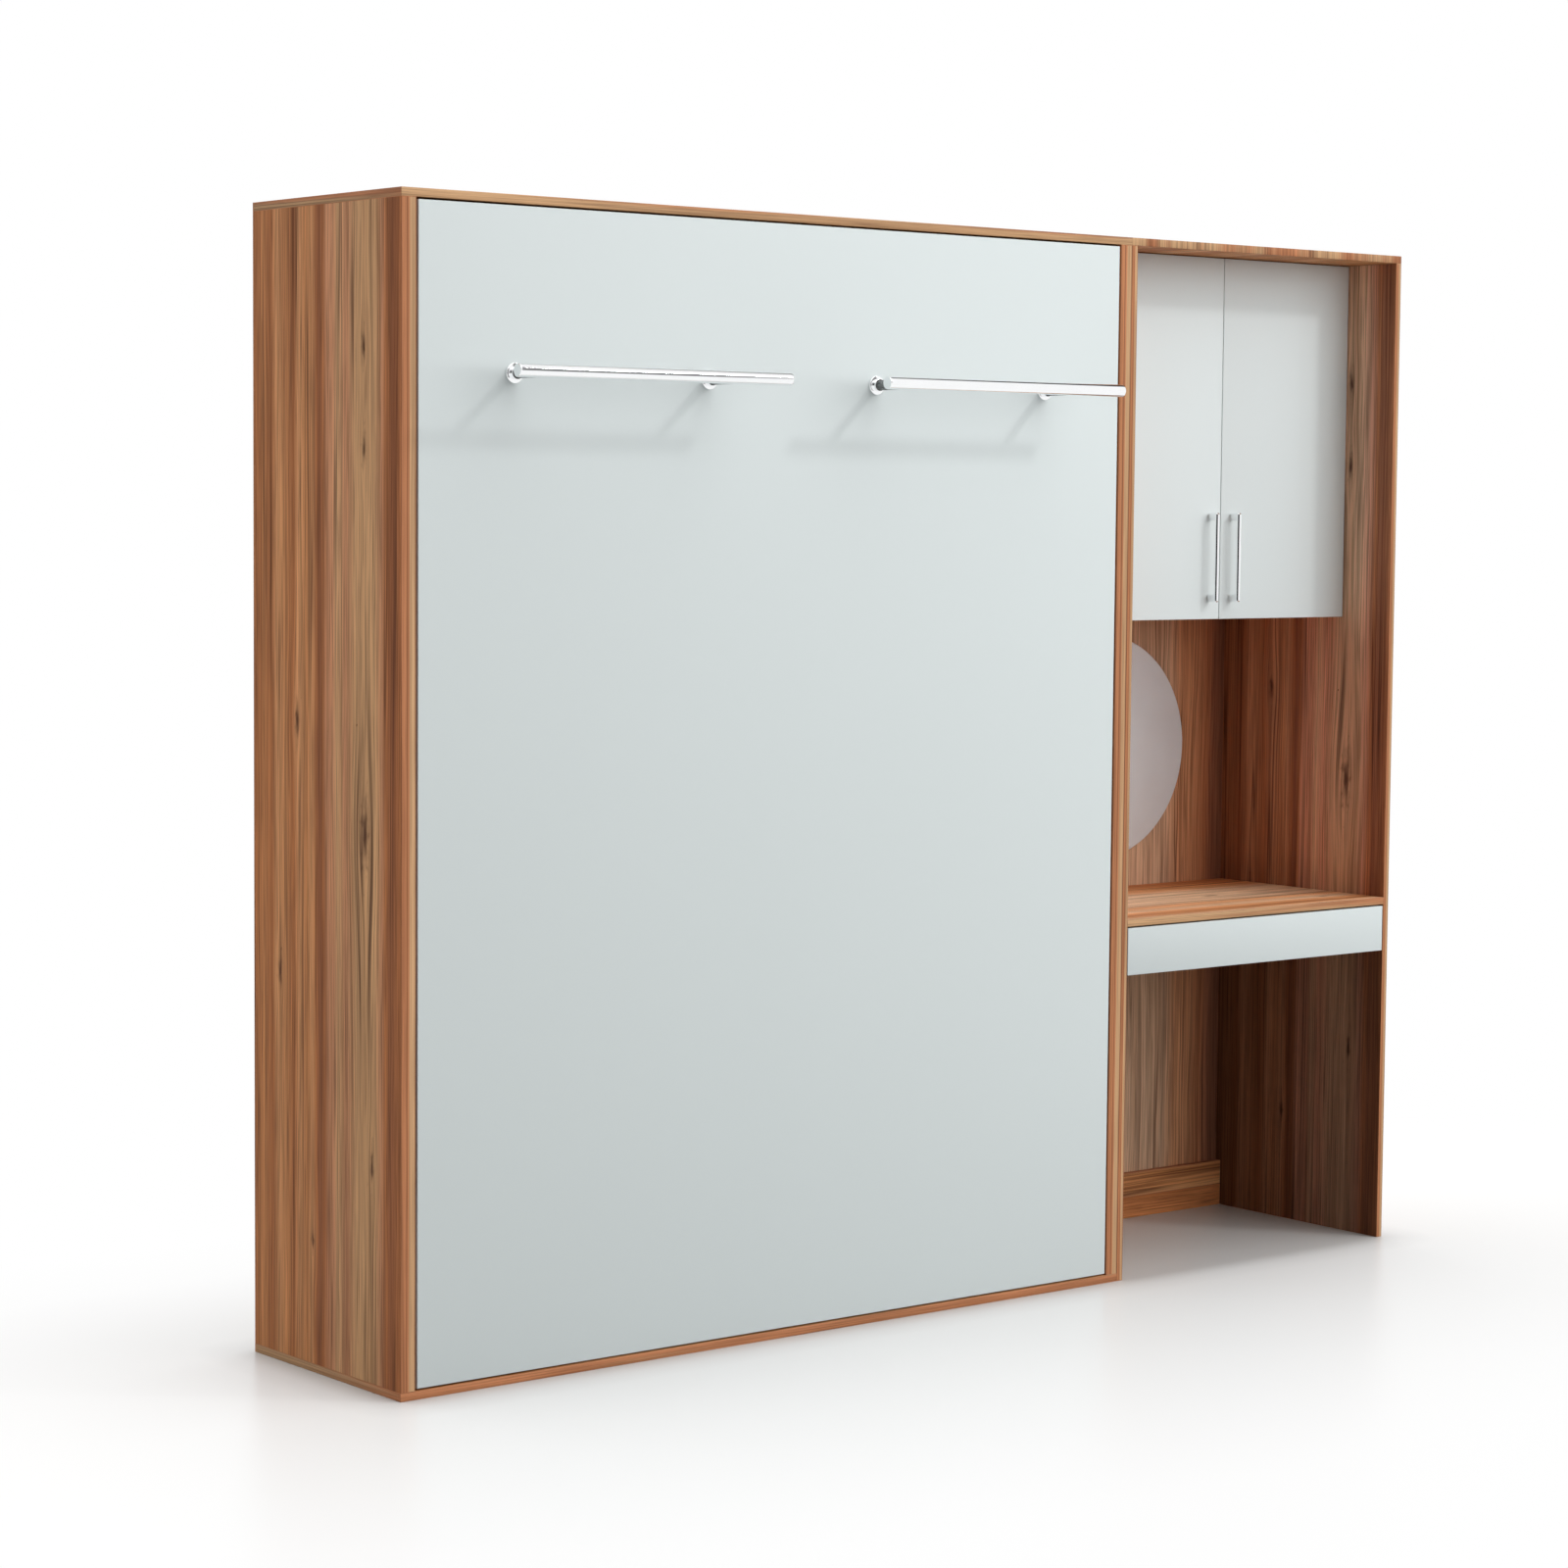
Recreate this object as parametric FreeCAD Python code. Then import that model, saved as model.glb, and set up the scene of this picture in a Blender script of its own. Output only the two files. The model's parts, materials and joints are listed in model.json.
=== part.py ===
import FreeCAD
import Part
import math
import os

# Wall bed with a dressing table beside it. The cabinet is drawn with x from its left side,
# y from its front and z from the floor, and each piece is moved to the object's origin
# when it is written: the middle of the floor area that it covers.

# Whole cabinet; its height and the bed side's width follow from the mattress
depth = 514.0
table_width = 826.0
board = 16.0
bed_side = 32.0
back_sheet = 3.0

# Fits between pieces
touch_gap = 0.3
pin_clearance = 0.08
edge_gap = 2.0
overrun = 5.0

# Wall fixing rails
wall_rail_height = 150.0
low_rail_height = 100.0
table_rail_height = 100.0
wall_hole_radius = 5.0
wall_hole_spacing = 1400.0
wall_hole_rise = 80.0
table_hole_spacing = 600.0

# Dowels of the board joints
dowel_radius = 4.0
dowel_in_face = 10.0
dowel_in_edge = 20.0
dowel_shares = (0.12, 0.5, 0.88)

# Front panel of the bed
face_gap = 4.0

# Pull bars, which are the feet of the open bed
bar_reach = 150.0
bar_radius = 12.5
bar_wall = 1.5
bar_length = 626.0
bar_below_head = 304.0
bar_place_shares = (0.25, 0.75)
post_spacing = 450.0
post_radius = 10.0
collar_radius = 12.0
collar_length = 8.0
flange_radius = 19.0
flange_thickness = 4.0
flange_round = 1.0
cap_thickness = 3.0
cap_chamfer = 1.5
cap_plug = 10.0
bar_screw_radius = 4.0
bar_screw_depth = 22.0
bar_screw_head_radius = 6.5
bar_screw_head = 6.0

# Pivot and gas struts of the bed
pivot_setback = 30.0
pivot_radius = 8.0
pivot_flange_wall = 2.5
pivot_flange = 3.0
pivot_in_side = 22.0
pivot_end_gap = 0.5
cabinet_plate = 3.0
strut_room = 43.0
lever_plate = 6.0
bush_wall = 2.0
bush_flange = 1.5
bush_flange_wall = 1.0
strut_foot_angle = -72.0
stud_radius = 4.0
stud_in_side = 15.0
stud_collar_radius = 7.0
stud_collar = 3.0
stud_clip = 1.5
stud_clip_radius = 6.0
eye_radius = 9.0
eye_width = 14.0
strut_neck_radius = 6.0
strut_neck = 14.0
strut_radius = 11.0
strut_wall = 1.5
strut_guide = 6.0
strut_end_gap = 7.0
rod_radius = 5.0
piston_length = 6.0
piston_clearance = 0.1
piston_end_gap = 3.0
plate_front = 6.0
plate_back = 116.0
plate_foot = 120.0
plate_head = 400.0
plate_corner = 10.0
plate_screw_radius = 2.5
plate_screw_length = 25.0
plate_screw_head_radius = 4.5
plate_screw_head = 2.5
plate_screw_inset = 16.0
plate_screw_rise = 36.0
lever_head = 400.0
lever_heel = 95.0
lever_shoulder = 230.0
lever_boss_radius = 10.0
lever_boss_gap = 1.8

# Steel bed frame
rail_width = 30.0
rail_depth = 50.0
rail_wall = 2.0
frame_inset = 20.0
slat_count = 15
slat_width = 53.0
slat_thickness = 8.0
slat_end_room = 60.0
slat_gap = 1.0
holder_width = 60.0
holder_length = 35.0
holder_base = 3.0
holder_wall = 10.0
holder_slot_gap = 0.2
frame_bolt_radius = 3.0
frame_bolt_bite = 8.0
frame_bolt_head_radius = 5.0
frame_bolt_head = 4.0
frame_bolt_shares = (0.0, 0.15, 0.4, 0.6, 0.85, 1.0)

# Stops behind the front panel
stop_width = 30.0
stop_depth = 40.0
stop_height = 50.0
stop_below_top = 34.0
bumper_radius = 8.0
bumper_length = 6.0

# Mattress and its straps
mattress_width = 1600.0
mattress_length = 2000.0
mattress_ledge = 18.0
mattress_end_room = 60.0
mattress_thickness = 200.0
mattress_corner = 25.0
mattress_pad = 15.0
strap_width = 40.0
strap_thickness = 2.0
strap_shares = (0.25, 0.77)
buckle_width = 56.0
buckle_length = 70.0
buckle_thickness = 8.0
buckle_round = 2.0

# Dressing table
desk_top_height = 772.0
plinth_height = 105.0
plinth_seam_height = 50.0
niche_height = 625.0
mirror_radius = 254.0
mirror_rise = 10.0
mirror_thickness = 5.0
mirror_bevel = 1.5
mirror_back_radius = 220.0
mirror_back_thickness = 6.0

# Cupboard over the mirror
door_setback = 139.0
door_bumper_gap = 2.0
shelf_side_gap = 1.0
shelf_front_gap = 24.0
shelf_back_gap = 6.0
shelf_pin_radius = 2.5
shelf_pin_in = 8.0
shelf_pin_out = 10.0
shelf_pin_inset = 40.0

# Door handles and hinges
handle_length = 194.0
handle_above_edge = 38.0
handle_from_split = 33.5
handle_width = 10.0
handle_thickness = 8.0
handle_standoff = 28.0
handle_post = 16.0
handle_round = 1.0
cup_radius = 17.5
cup_depth = 11.5
cup_wall = 1.0
cup_edge = 5.0
cup_ear = 26.0
cup_plate_width = 13.0
cup_plate = 1.0
hinge_end_distance = 100.0
arm_gap = 1.0
arm_width = 16.0
arm_reach = 34.0
arm_crank = 18.0
arm_length = 88.0
arm_height = 12.0
arm_foot = 2.0
arm_foot_length = 55.0
arm_foot_width = 36.0

# Drawer and its runners
drawer_height = 102.0
drawer_depth = 400.0
drawer_side = 12.0
drawer_side_height = 70.0
drawer_foot_gap = 16.0
drawer_bottom = 4.0
drawer_bottom_rise = 8.0
drawer_groove = 4.0
runner_width = 12.7
runner_height = 45.0
runner_length = 400.0
runner_front_gap = 2.0
runner_sheet = 1.2
runner_race_gap = 0.4
runner_outer_lip = 9.0
runner_middle_inset = 2.4
runner_middle_lip = 8.1
runner_inner_lip = 6.1

# Bolts that join the two cabinets
join_radius = 3.0
join_head_radius = 8.0
join_head = 2.5
join_shares = (0.14, 0.27, 0.69, 0.96)

# Bed places that follow from the sizes above
frame_left = bed_side + cabinet_plate + strut_room + lever_plate
mattress_left = frame_left + mattress_ledge
bed_width = mattress_left * 2 + mattress_width
bed_middle = bed_width / 2
face_left = bed_side + face_gap
face_right = bed_width - face_left
face_foot = board + face_gap
frame_foot = face_foot + frame_inset
mattress_foot = frame_foot + mattress_end_room
frame_head = mattress_foot + mattress_length + mattress_end_room
face_head = frame_head + frame_inset
inner_top = face_head + face_gap
height = inner_top + board
frame_back = board + rail_depth
slat_front = frame_back + holder_base
mattress_front = frame_back + holder_base * 2 + slat_thickness + touch_gap
bar_height = face_head - bar_below_head
bar_standoff = bar_reach - bar_radius
pivot_height = bar_reach + pivot_setback
strut_middle = bed_side + cabinet_plate + strut_room / 2
strut_drop = pivot_height - board - lever_boss_gap - lever_boss_radius
strut_circle = strut_drop / math.sin(math.radians(-strut_foot_angle))
strut_short = strut_circle * 2 * math.sin(math.radians(-strut_foot_angle / 2))
strut_length = strut_short - eye_radius - strut_end_gap
bore_start = strut_neck + strut_wall * 2
rod_length = strut_short - bore_start - piston_end_gap

# Dressing table places
total_width = bed_width + table_width
board_depth = depth - back_sheet
table_left = bed_width + board
table_right = total_width - board
table_middle = (table_left + table_right) / 2
door_head = inner_top - edge_gap
door_foot = desk_top_height + niche_height
door_back = door_setback + board
cupboard_floor = door_foot + edge_gap / 2
shelf_height = (cupboard_floor + inner_top) / 2
mirror_height = desk_top_height + niche_height / 2 + mirror_rise
desk_underside = desk_top_height - board
drawer_top = desk_underside - edge_gap
drawer_foot = drawer_top - drawer_height

# How much of an edge's direction must lie along an axis to count as that way
along_share = 0.9

X = FreeCAD.Vector(1, 0, 0)
Y = FreeCAD.Vector(0, 1, 0)
Z = FreeCAD.Vector(0, 0, 1)
to_origin = FreeCAD.Vector(-total_width / 2, (bar_reach - depth) / 2, 0)


def block(x0, x1, y0, y1, z0, z1):
    """A box between two corners."""
    return Part.makeBox(x1 - x0, y1 - y0, z1 - z0, FreeCAD.Vector(x0, y0, z0))


def rod(radius, x, y, z, axis, length):
    """A round bar from a point along an axis."""
    return Part.makeCylinder(radius, length, FreeCAD.Vector(x, y, z), axis)


def group(shapes):
    """Separate solids held as one shape."""
    return Part.makeCompound(shapes)


def fused(shapes):
    """One solid made of several that touch or cross."""
    return shapes[0].multiFuse(shapes[1:]).removeSplitter()


def mirrored(shape, middle):
    """The same shape on the other side of an upright plane across the width."""
    return shape.mirror(FreeCAD.Vector(middle, 0, 0), X)


def both_sides(shape, middle):
    """A shape and its mirror image."""
    return [shape, mirrored(shape, middle)]


def across(values, share):
    """A place between two ends."""
    return values[0] + (values[1] - values[0]) * share


def save(name, shape):
    """Write one piece at its place from the object's origin."""
    placed = shape.copy()
    placed.translate(to_origin)
    placed.exportStep("parts/" + name + ".step")


def upright_dowels(x, z, sign):
    """Dowels up or down from a board's edge into the face above or below it."""
    start = z - sign * dowel_in_edge
    length = dowel_in_edge + dowel_in_face
    places = [across((0, board_depth), share) for share in dowel_shares]
    return [rod(dowel_radius, x, y, start, Z * sign, length) for y in places]


def level_dowels(x, z, sign, front):
    """Dowels from the edge of a level board into an upright side."""
    start = x - sign * dowel_in_edge
    length = dowel_in_edge + dowel_in_face
    places = [across((front, board_depth), share) for share in dowel_shares]
    return [rod(dowel_radius, start, y, z, X * sign, length) for y in places]


def all_dowels():
    """Every dowel of the two cabinets."""
    pegs = []
    for x in (bed_side / 2, bed_width - bed_side / 2):
        pegs += upright_dowels(x, inner_top, 1)
        pegs += upright_dowels(x, board, -1)
    for x in (table_left - board / 2, table_right + board / 2):
        pegs += upright_dowels(x, inner_top, 1)
    for x, sign in ((table_left, -1), (table_right, 1)):
        pegs += level_dowels(x, desk_underside + board / 2, sign, 0)
        pegs += level_dowels(x, cupboard_floor + board / 2, sign, door_back)
    return pegs


def join_bolts():
    """Bolts through the two sides that stand against each other."""
    bolts = []
    start = bed_width - bed_side
    length = bed_side + board
    y = depth / 2
    for share in join_shares:
        z = inner_top * share
        shank = rod(join_radius, start, y, z, X, length)
        near_head = rod(join_head_radius, start - join_head, y, z, X, join_head)
        far_head = rod(join_head_radius, start + length, y, z, X, join_head)
        bolts.append(fused([shank, near_head, far_head]))
    return bolts


def wall_holes():
    """Cutters for the wall screws of both cabinets."""
    start = board_depth - board - overrun
    length = board + back_sheet + overrun * 2
    holes = []
    middle_height = inner_top - wall_rail_height / 2
    for dx in (-wall_hole_spacing / 2, wall_hole_spacing / 2):
        for dz in (-wall_hole_rise / 2, wall_hole_rise / 2):
            holes.append(rod(wall_hole_radius, bed_middle + dx, start, middle_height + dz, Y, length))
    middle_height = inner_top - table_rail_height / 2
    for dx in (-table_hole_spacing / 2, table_hole_spacing / 2):
        holes.append(rod(wall_hole_radius, table_middle + dx, start, middle_height, Y, length))
    return group(holes)


def pivot_pin():
    """The left pivot pin, set into the cabinet side."""
    start = bed_side - pivot_in_side
    end = frame_left - pivot_end_gap
    shaft = rod(pivot_radius, start, pivot_setback, pivot_height, X, end - start)
    seat = bed_side + cabinet_plate
    flange_radius = pivot_radius + pivot_flange_wall
    flange = rod(flange_radius, seat, pivot_setback, pivot_height, X, pivot_flange)
    return fused([shaft, flange])


def stud(x0, x1, collar_start, clip_start, y, z):
    """A strut stud with a collar at its plate and a clip past the strut's eye."""
    shaft = rod(stud_radius, x0, y, z, X, x1 - x0)
    collar = rod(stud_collar_radius, collar_start, y, z, X, stud_collar)
    clip = rod(stud_clip_radius, clip_start, y, z, X, stud_clip)
    return fused([shaft, collar, clip])


def upper_stud():
    """The left stud on the cabinet plate, straight above the pivot."""
    seat = bed_side + cabinet_plate
    clip = strut_middle + eye_width / 2 + touch_gap
    z = pivot_height + strut_circle
    return stud(bed_side - stud_in_side, clip + stud_clip * 2, seat, clip, pivot_setback, z)


def foot_place():
    """Where the strut's lower eye sits on the bed's lever plate."""
    angle = math.radians(strut_foot_angle)
    y = pivot_setback + strut_circle * math.cos(angle)
    z = pivot_height + strut_circle * math.sin(angle)
    return y, z


def lower_stud():
    """The left stud on the bed's lever plate."""
    y, z = foot_place()
    clip = strut_middle - eye_width / 2 - touch_gap - stud_clip
    lever_start = frame_left - lever_plate
    return stud(clip - stud_clip, frame_left, lever_start - stud_collar, clip, y, z)


def plate_screws():
    """Screws of the left cabinet plate, kept behind and above the pivot."""
    screws = []
    seat = bed_side + cabinet_plate
    y_places = (pivot_setback + plate_screw_inset * 2, plate_back - plate_screw_inset)
    z_places = (pivot_height + plate_screw_rise, plate_head - plate_screw_inset)
    for y in y_places:
        for z in z_places:
            shank = rod(plate_screw_radius, seat, y, z, -X, plate_screw_length)
            head = rod(plate_screw_head_radius, seat, y, z, X, plate_screw_head)
            screws.append(fused([shank, head]))
    return screws


def shelf_pins():
    """Four pins that carry the cupboard shelf."""
    pins = []
    length = shelf_pin_in + shelf_pin_out
    z = shelf_height - shelf_pin_radius
    shelf_front = door_back + shelf_front_gap
    shelf_back = board_depth - shelf_back_gap
    for y in (shelf_front + shelf_pin_inset, shelf_back - shelf_pin_inset):
        pins.append(rod(shelf_pin_radius, table_left - shelf_pin_in, y, z, X, length))
        pins.append(rod(shelf_pin_radius, table_right + shelf_pin_in, y, z, -X, length))
    return pins


def make_bed_cabinet(dowels, bolts, holes):
    """Boards of the cabinet that the bed folds into."""
    pegs = group(dowels)
    pins = both_sides(pivot_pin(), bed_middle) + both_sides(upper_stud(), bed_middle)
    screws = plate_screws() + [mirrored(screw, bed_middle) for screw in plate_screws()]
    side = block(0, bed_side, 0, board_depth, board, inner_top)
    cutters = group(dowels + pins + screws + bolts)
    save("bed_side_left", side.cut(cutters))
    save("bed_side_right", mirrored(side, bed_middle).cut(cutters))
    save("bed_top", block(0, bed_width, 0, board_depth, inner_top, height).cut(pegs))
    save("bed_bottom", block(0, bed_width, 0, board_depth, 0, board).cut(pegs))
    save("bed_back", block(0, bed_width, board_depth, depth, 0, height).cut(holes))
    inner_right = bed_width - bed_side
    rail_front = board_depth - board
    rail_foot = inner_top - wall_rail_height
    rail = block(bed_side, inner_right, rail_front, board_depth, rail_foot, inner_top)
    low_rail = block(bed_side, inner_right, rail_front, board_depth, board, board + low_rail_height)
    save("bed_low_rail", low_rail)
    save("bed_wall_rail", rail.cut(holes))


def make_pivot_parts():
    """Plates, pins and studs on the cabinet, with the stops behind the front panel."""
    pins = both_sides(pivot_pin(), bed_middle)
    studs = both_sides(upper_stud(), bed_middle)
    screws = plate_screws()
    sheet = block(bed_side, bed_side + cabinet_plate, plate_front, plate_back, plate_foot, plate_head)
    corners = [edge for edge in sheet.Edges if abs(edge.tangentAt(edge.FirstParameter).x) > along_share]
    sheet = sheet.makeFillet(plate_corner, corners)
    sheet = sheet.cut(group([pins[0], studs[0]] + screws))
    save("pivot_plates", group(both_sides(sheet, bed_middle)))
    save("pivot_pins", group(pins))
    save("upper_studs", group(studs))
    screws += [mirrored(screw, bed_middle) for screw in screws]
    save("side_screws", group(screws + join_bolts()))
    stop_front = board + touch_gap + bumper_length
    stop_head = inner_top - stop_below_top
    stop_foot = stop_head - stop_height
    stop = block(bed_side, bed_side + stop_width, stop_front, stop_front + stop_depth, stop_foot, stop_head)
    save("panel_stops", group(both_sides(stop, bed_middle)))
    bumper_x = bed_side + stop_width / 2
    bumper = rod(bumper_radius, bumper_x, stop_front, (stop_foot + stop_head) / 2, -Y, bumper_length)
    return both_sides(bumper, bed_middle)


def strut_placed(shape, x, y, z, angle):
    """A strut part drawn upwards from its eye, turned about the eye and put in place."""
    shape = shape.copy()
    shape.rotate(FreeCAD.Vector(0, 0, 0), X, angle)
    shape.translate(FreeCAD.Vector(x, y, z))
    return shape


def strut_eye(neck_length):
    """The eye and neck that both strut ends share."""
    eye = rod(eye_radius, -eye_width / 2, 0, 0, X, eye_width)
    neck = rod(strut_neck_radius, 0, 0, 0, Z, neck_length)
    return eye.fuse(neck)


def strut_bore():
    """The hole of an eye."""
    return rod(stud_radius + pin_clearance, -eye_width, 0, 0, X, eye_width * 2)


def make_struts():
    """Two gas struts: cylinders on the cabinet, rods on the bed."""
    foot_y, foot_z = foot_place()
    head_y = pivot_setback
    head_z = pivot_height + strut_circle
    lean = math.degrees(math.atan2(foot_y - head_y, head_z - foot_z))
    barrel = rod(strut_radius, 0, 0, strut_neck, Z, strut_length - strut_neck)
    bore_end = strut_length - strut_guide
    bore = rod(strut_radius - strut_wall, 0, 0, bore_start, Z, bore_end - bore_start)
    guide = rod(rod_radius + pin_clearance, 0, 0, bore_start, Z, strut_length)
    cylinder = strut_eye(strut_neck).fuse(barrel)
    cylinder = cylinder.cut(group([bore, guide])).cut(strut_bore()).removeSplitter()
    cylinder = strut_placed(cylinder, strut_middle, head_y, head_z, 180 + lean)
    save("strut_cylinders", group(both_sides(cylinder, bed_middle)))
    shaft = rod(rod_radius, 0, 0, 0, Z, rod_length)
    piston_radius = strut_radius - strut_wall - piston_clearance
    piston = rod(piston_radius, 0, 0, rod_length - piston_length, Z, piston_length)
    piston_rod = fused([strut_eye(eye_radius + rod_radius / 2), shaft, piston]).cut(strut_bore())
    piston_rod = strut_placed(piston_rod, strut_middle, foot_y, foot_z, lean)
    save("strut_rods", group(both_sides(piston_rod, bed_middle)))


def bar_middles():
    """Where the two pull bars are centred on the front panel."""
    return [across((face_left, face_right), share) for share in bar_place_shares]


def post_places():
    """Where the four posts of the pull bars stand."""
    half = post_spacing / 2
    return [middle + side for middle in bar_middles() for side in (-half, half)]


def bar_screws():
    """Screws from behind the front panel into the posts."""
    screws = []
    for x in post_places():
        shank = rod(bar_screw_radius, x, board, bar_height, -Y, board + bar_screw_depth)
        head = rod(bar_screw_head_radius, x, board, bar_height, Y, bar_screw_head)
        screws.append(fused([shank, head]))
    return screws


def make_bars():
    """Pull bars: tube, end caps, posts and flanges."""
    screws = bar_screws()
    cutter = group(screws)
    posts = []
    flanges = []
    for x in post_places():
        ring = rod(flange_radius, x, 0, bar_height, -Y, flange_thickness)
        front_edges = [edge for edge in ring.Edges if edge.BoundBox.YMax < -flange_thickness / 2]
        ring = ring.makeFillet(flange_round, front_edges)
        ring = ring.cut(rod(post_radius, x, 0, bar_height, -Y, flange_thickness))
        flanges.append(ring)
        stem = rod(post_radius, x, 0, bar_height, -Y, bar_standoff)
        collar = rod(collar_radius, x, -flange_thickness, bar_height, -Y, collar_length)
        tube = rod(bar_radius, x - bar_length / 2, -bar_standoff, bar_height, X, bar_length)
        posts.append(stem.fuse(collar).cut(tube).cut(cutter).removeSplitter())
    save("bar_posts", group(posts))
    save("bar_flanges", group(flanges))
    caps = []
    for side, middle in zip(("left", "right"), bar_middles()):
        start = middle - bar_length / 2 + cap_thickness
        length = bar_length - cap_thickness * 2
        tube = rod(bar_radius, start, -bar_standoff, bar_height, X, length)
        tube = tube.cut(rod(bar_radius - bar_wall, start, -bar_standoff, bar_height, X, length))
        save("bar_tube_" + side, tube)
        plug = rod(bar_radius - bar_wall, start, -bar_standoff, bar_height, X, cap_plug)
        disc = rod(bar_radius, start, -bar_standoff, bar_height, -X, cap_thickness)
        rim = [edge for edge in disc.Edges if edge.BoundBox.XMax < start - cap_thickness / 2]
        cap = fused([disc.makeChamfer(cap_chamfer, rim), plug])
        caps += both_sides(cap, middle)
    save("bar_end_caps", group(caps))


def slat_heights():
    """Middle height of each slat when the bed is up."""
    first = frame_foot + rail_width + slat_end_room
    last = frame_head - rail_width - slat_end_room
    return [across((first, last), step / (slat_count - 1)) for step in range(slat_count)]


def between_slats(share):
    """Middle of the gap between two slats, at a share of the way up the bed."""
    heights = slat_heights()
    index = round(share * (slat_count - 2))
    return (heights[index] + heights[index + 1]) / 2


def frame_bolts():
    """Bolts through the steel rails into the front panel."""
    bolts = []
    side_x = frame_left + rail_width / 2
    length = frame_back - frame_bolt_bite
    for share in frame_bolt_shares:
        z = between_slats(share)
        for x in (side_x, bed_middle, bed_width - side_x):
            shank = rod(frame_bolt_radius, x, frame_bolt_bite, z, Y, length)
            head = rod(frame_bolt_head_radius, x, frame_back, z, Y, frame_bolt_head)
            bolts.append(fused([shank, head]))
    return bolts


def rail_along(x0, z0, z1):
    """An upright rectangular tube."""
    outer = block(x0, x0 + rail_width, board, frame_back, z0, z1)
    inner_x = x0 + rail_width - rail_wall
    inner = block(x0 + rail_wall, inner_x, board + rail_wall, frame_back - rail_wall, z0, z1)
    return outer.cut(inner)


def rail_across(z0):
    """A level rectangular tube between the side rails."""
    x0 = frame_left + rail_width
    x1 = bed_width - x0
    outer = block(x0, x1, board, frame_back, z0, z0 + rail_width)
    inner_z = z0 + rail_width - rail_wall
    inner = block(x0, x1, board + rail_wall, frame_back - rail_wall, z0 + rail_wall, inner_z)
    return outer.cut(inner)


def make_frame():
    """Steel frame, its slats and its bolts."""
    bolts = frame_bolts()
    cutter = group(bolts)
    side = rail_along(frame_left, frame_foot, frame_head)
    side = side.cut(cutter)
    save("frame_rail_left", side)
    save("frame_rail_right", mirrored(side, bed_middle))
    save("frame_cross_rails", group([rail_across(frame_foot), rail_across(frame_head - rail_width)]))
    beam_left = bed_middle - rail_width / 2
    beam = rail_along(beam_left, frame_foot + rail_width, frame_head - rail_width)
    save("frame_beam", beam.cut(cutter))
    slats = []
    holders = []
    slat_left = frame_left + holder_wall + slat_gap
    slat_right = bed_middle - holder_wall / 2 - slat_gap
    slat_back = slat_front + slat_thickness
    holder_back = slat_back + holder_base
    slot_front = slat_front - holder_slot_gap
    slot_back = slat_back + holder_slot_gap
    slot_half = slat_width / 2 + holder_slot_gap
    for z in slat_heights():
        z0 = z - slat_width / 2
        z1 = z + slat_width / 2
        slats += both_sides(block(slat_left, slat_right, slat_front, slat_back, z0, z1), bed_middle)
        low = z - holder_width / 2
        high = z + holder_width / 2
        end = frame_left + holder_length
        shell = block(frame_left, end, frame_back, holder_back, low, high)
        slot = block(frame_left + holder_wall, end, slot_front, slot_back, z - slot_half, z + slot_half)
        holders += both_sides(shell.cut(slot), bed_middle)
        reach = holder_wall / 2 + holder_length - holder_wall
        shell = block(bed_middle - reach, bed_middle + reach, frame_back, holder_back, low, high)
        web = holder_wall / 2
        for x0, x1 in ((bed_middle - reach, bed_middle - web), (bed_middle + web, bed_middle + reach)):
            shell = shell.cut(block(x0, x1, slot_front, slot_back, z - slot_half, z + slot_half))
        holders.append(shell)
    save("slats", group(slats))
    save("slat_holders", group(holders))


def make_front_panel():
    """The white panel that the bed frame carries."""
    panel = block(face_left, face_right, 0, board, face_foot, face_head)
    bolts = frame_bolts() + bar_screws()
    save("front_panel", panel.cut(group(bolts)))
    save("panel_bolts", group(bolts))


def make_levers():
    """Lever plates of the bed with their bushes and studs."""
    foot_y, foot_z = foot_place()
    start = frame_left - lever_plate
    front = board
    back = frame_back
    lean = math.atan2(lever_heel - foot_z + lever_boss_radius, foot_y - front)
    tangent = math.pi * 3 / 2 - lean

    def point(y, z):
        return FreeCAD.Vector(start, y, z)

    def on_boss(angle):
        y = foot_y + lever_boss_radius * math.cos(angle)
        z = foot_z + lever_boss_radius * math.sin(angle)
        return point(y, z)

    corners = [
        on_boss(tangent),
        point(front, lever_heel),
        point(front, lever_head),
        point(back, lever_head),
        point(back, lever_shoulder),
        on_boss(0),
    ]
    edges = [Part.makeLine(a, b) for a, b in zip(corners, corners[1:])]
    half_way = (tangent + math.pi * 2) / 2
    edges.append(Part.Arc(on_boss(0), on_boss(half_way), on_boss(tangent)).toShape())
    lever = Part.Face(Part.Wire(edges)).extrude(X * lever_plate)
    foot_stud = lower_stud()
    hole_radius = pivot_radius + bush_wall
    hole = rod(hole_radius, start, pivot_setback, pivot_height, X, lever_plate)
    lever = lever.cut(group([hole, foot_stud]))
    save("lever_plates", group(both_sides(lever, bed_middle)))
    save("lower_studs", group(both_sides(foot_stud, bed_middle)))
    sleeve = rod(hole_radius, start, pivot_setback, pivot_height, X, lever_plate)
    lip_radius = hole_radius + bush_flange_wall
    lip = rod(lip_radius, start - bush_flange, pivot_setback, pivot_height, X, bush_flange)
    bore_length = lever_plate + bush_flange
    bore_radius = pivot_radius + pin_clearance
    bore = rod(bore_radius, start - bush_flange, pivot_setback, pivot_height, X, bore_length)
    bush = fused([sleeve, lip]).cut(bore)
    save("pivot_bushes", group(both_sides(bush, bed_middle)))


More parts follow.
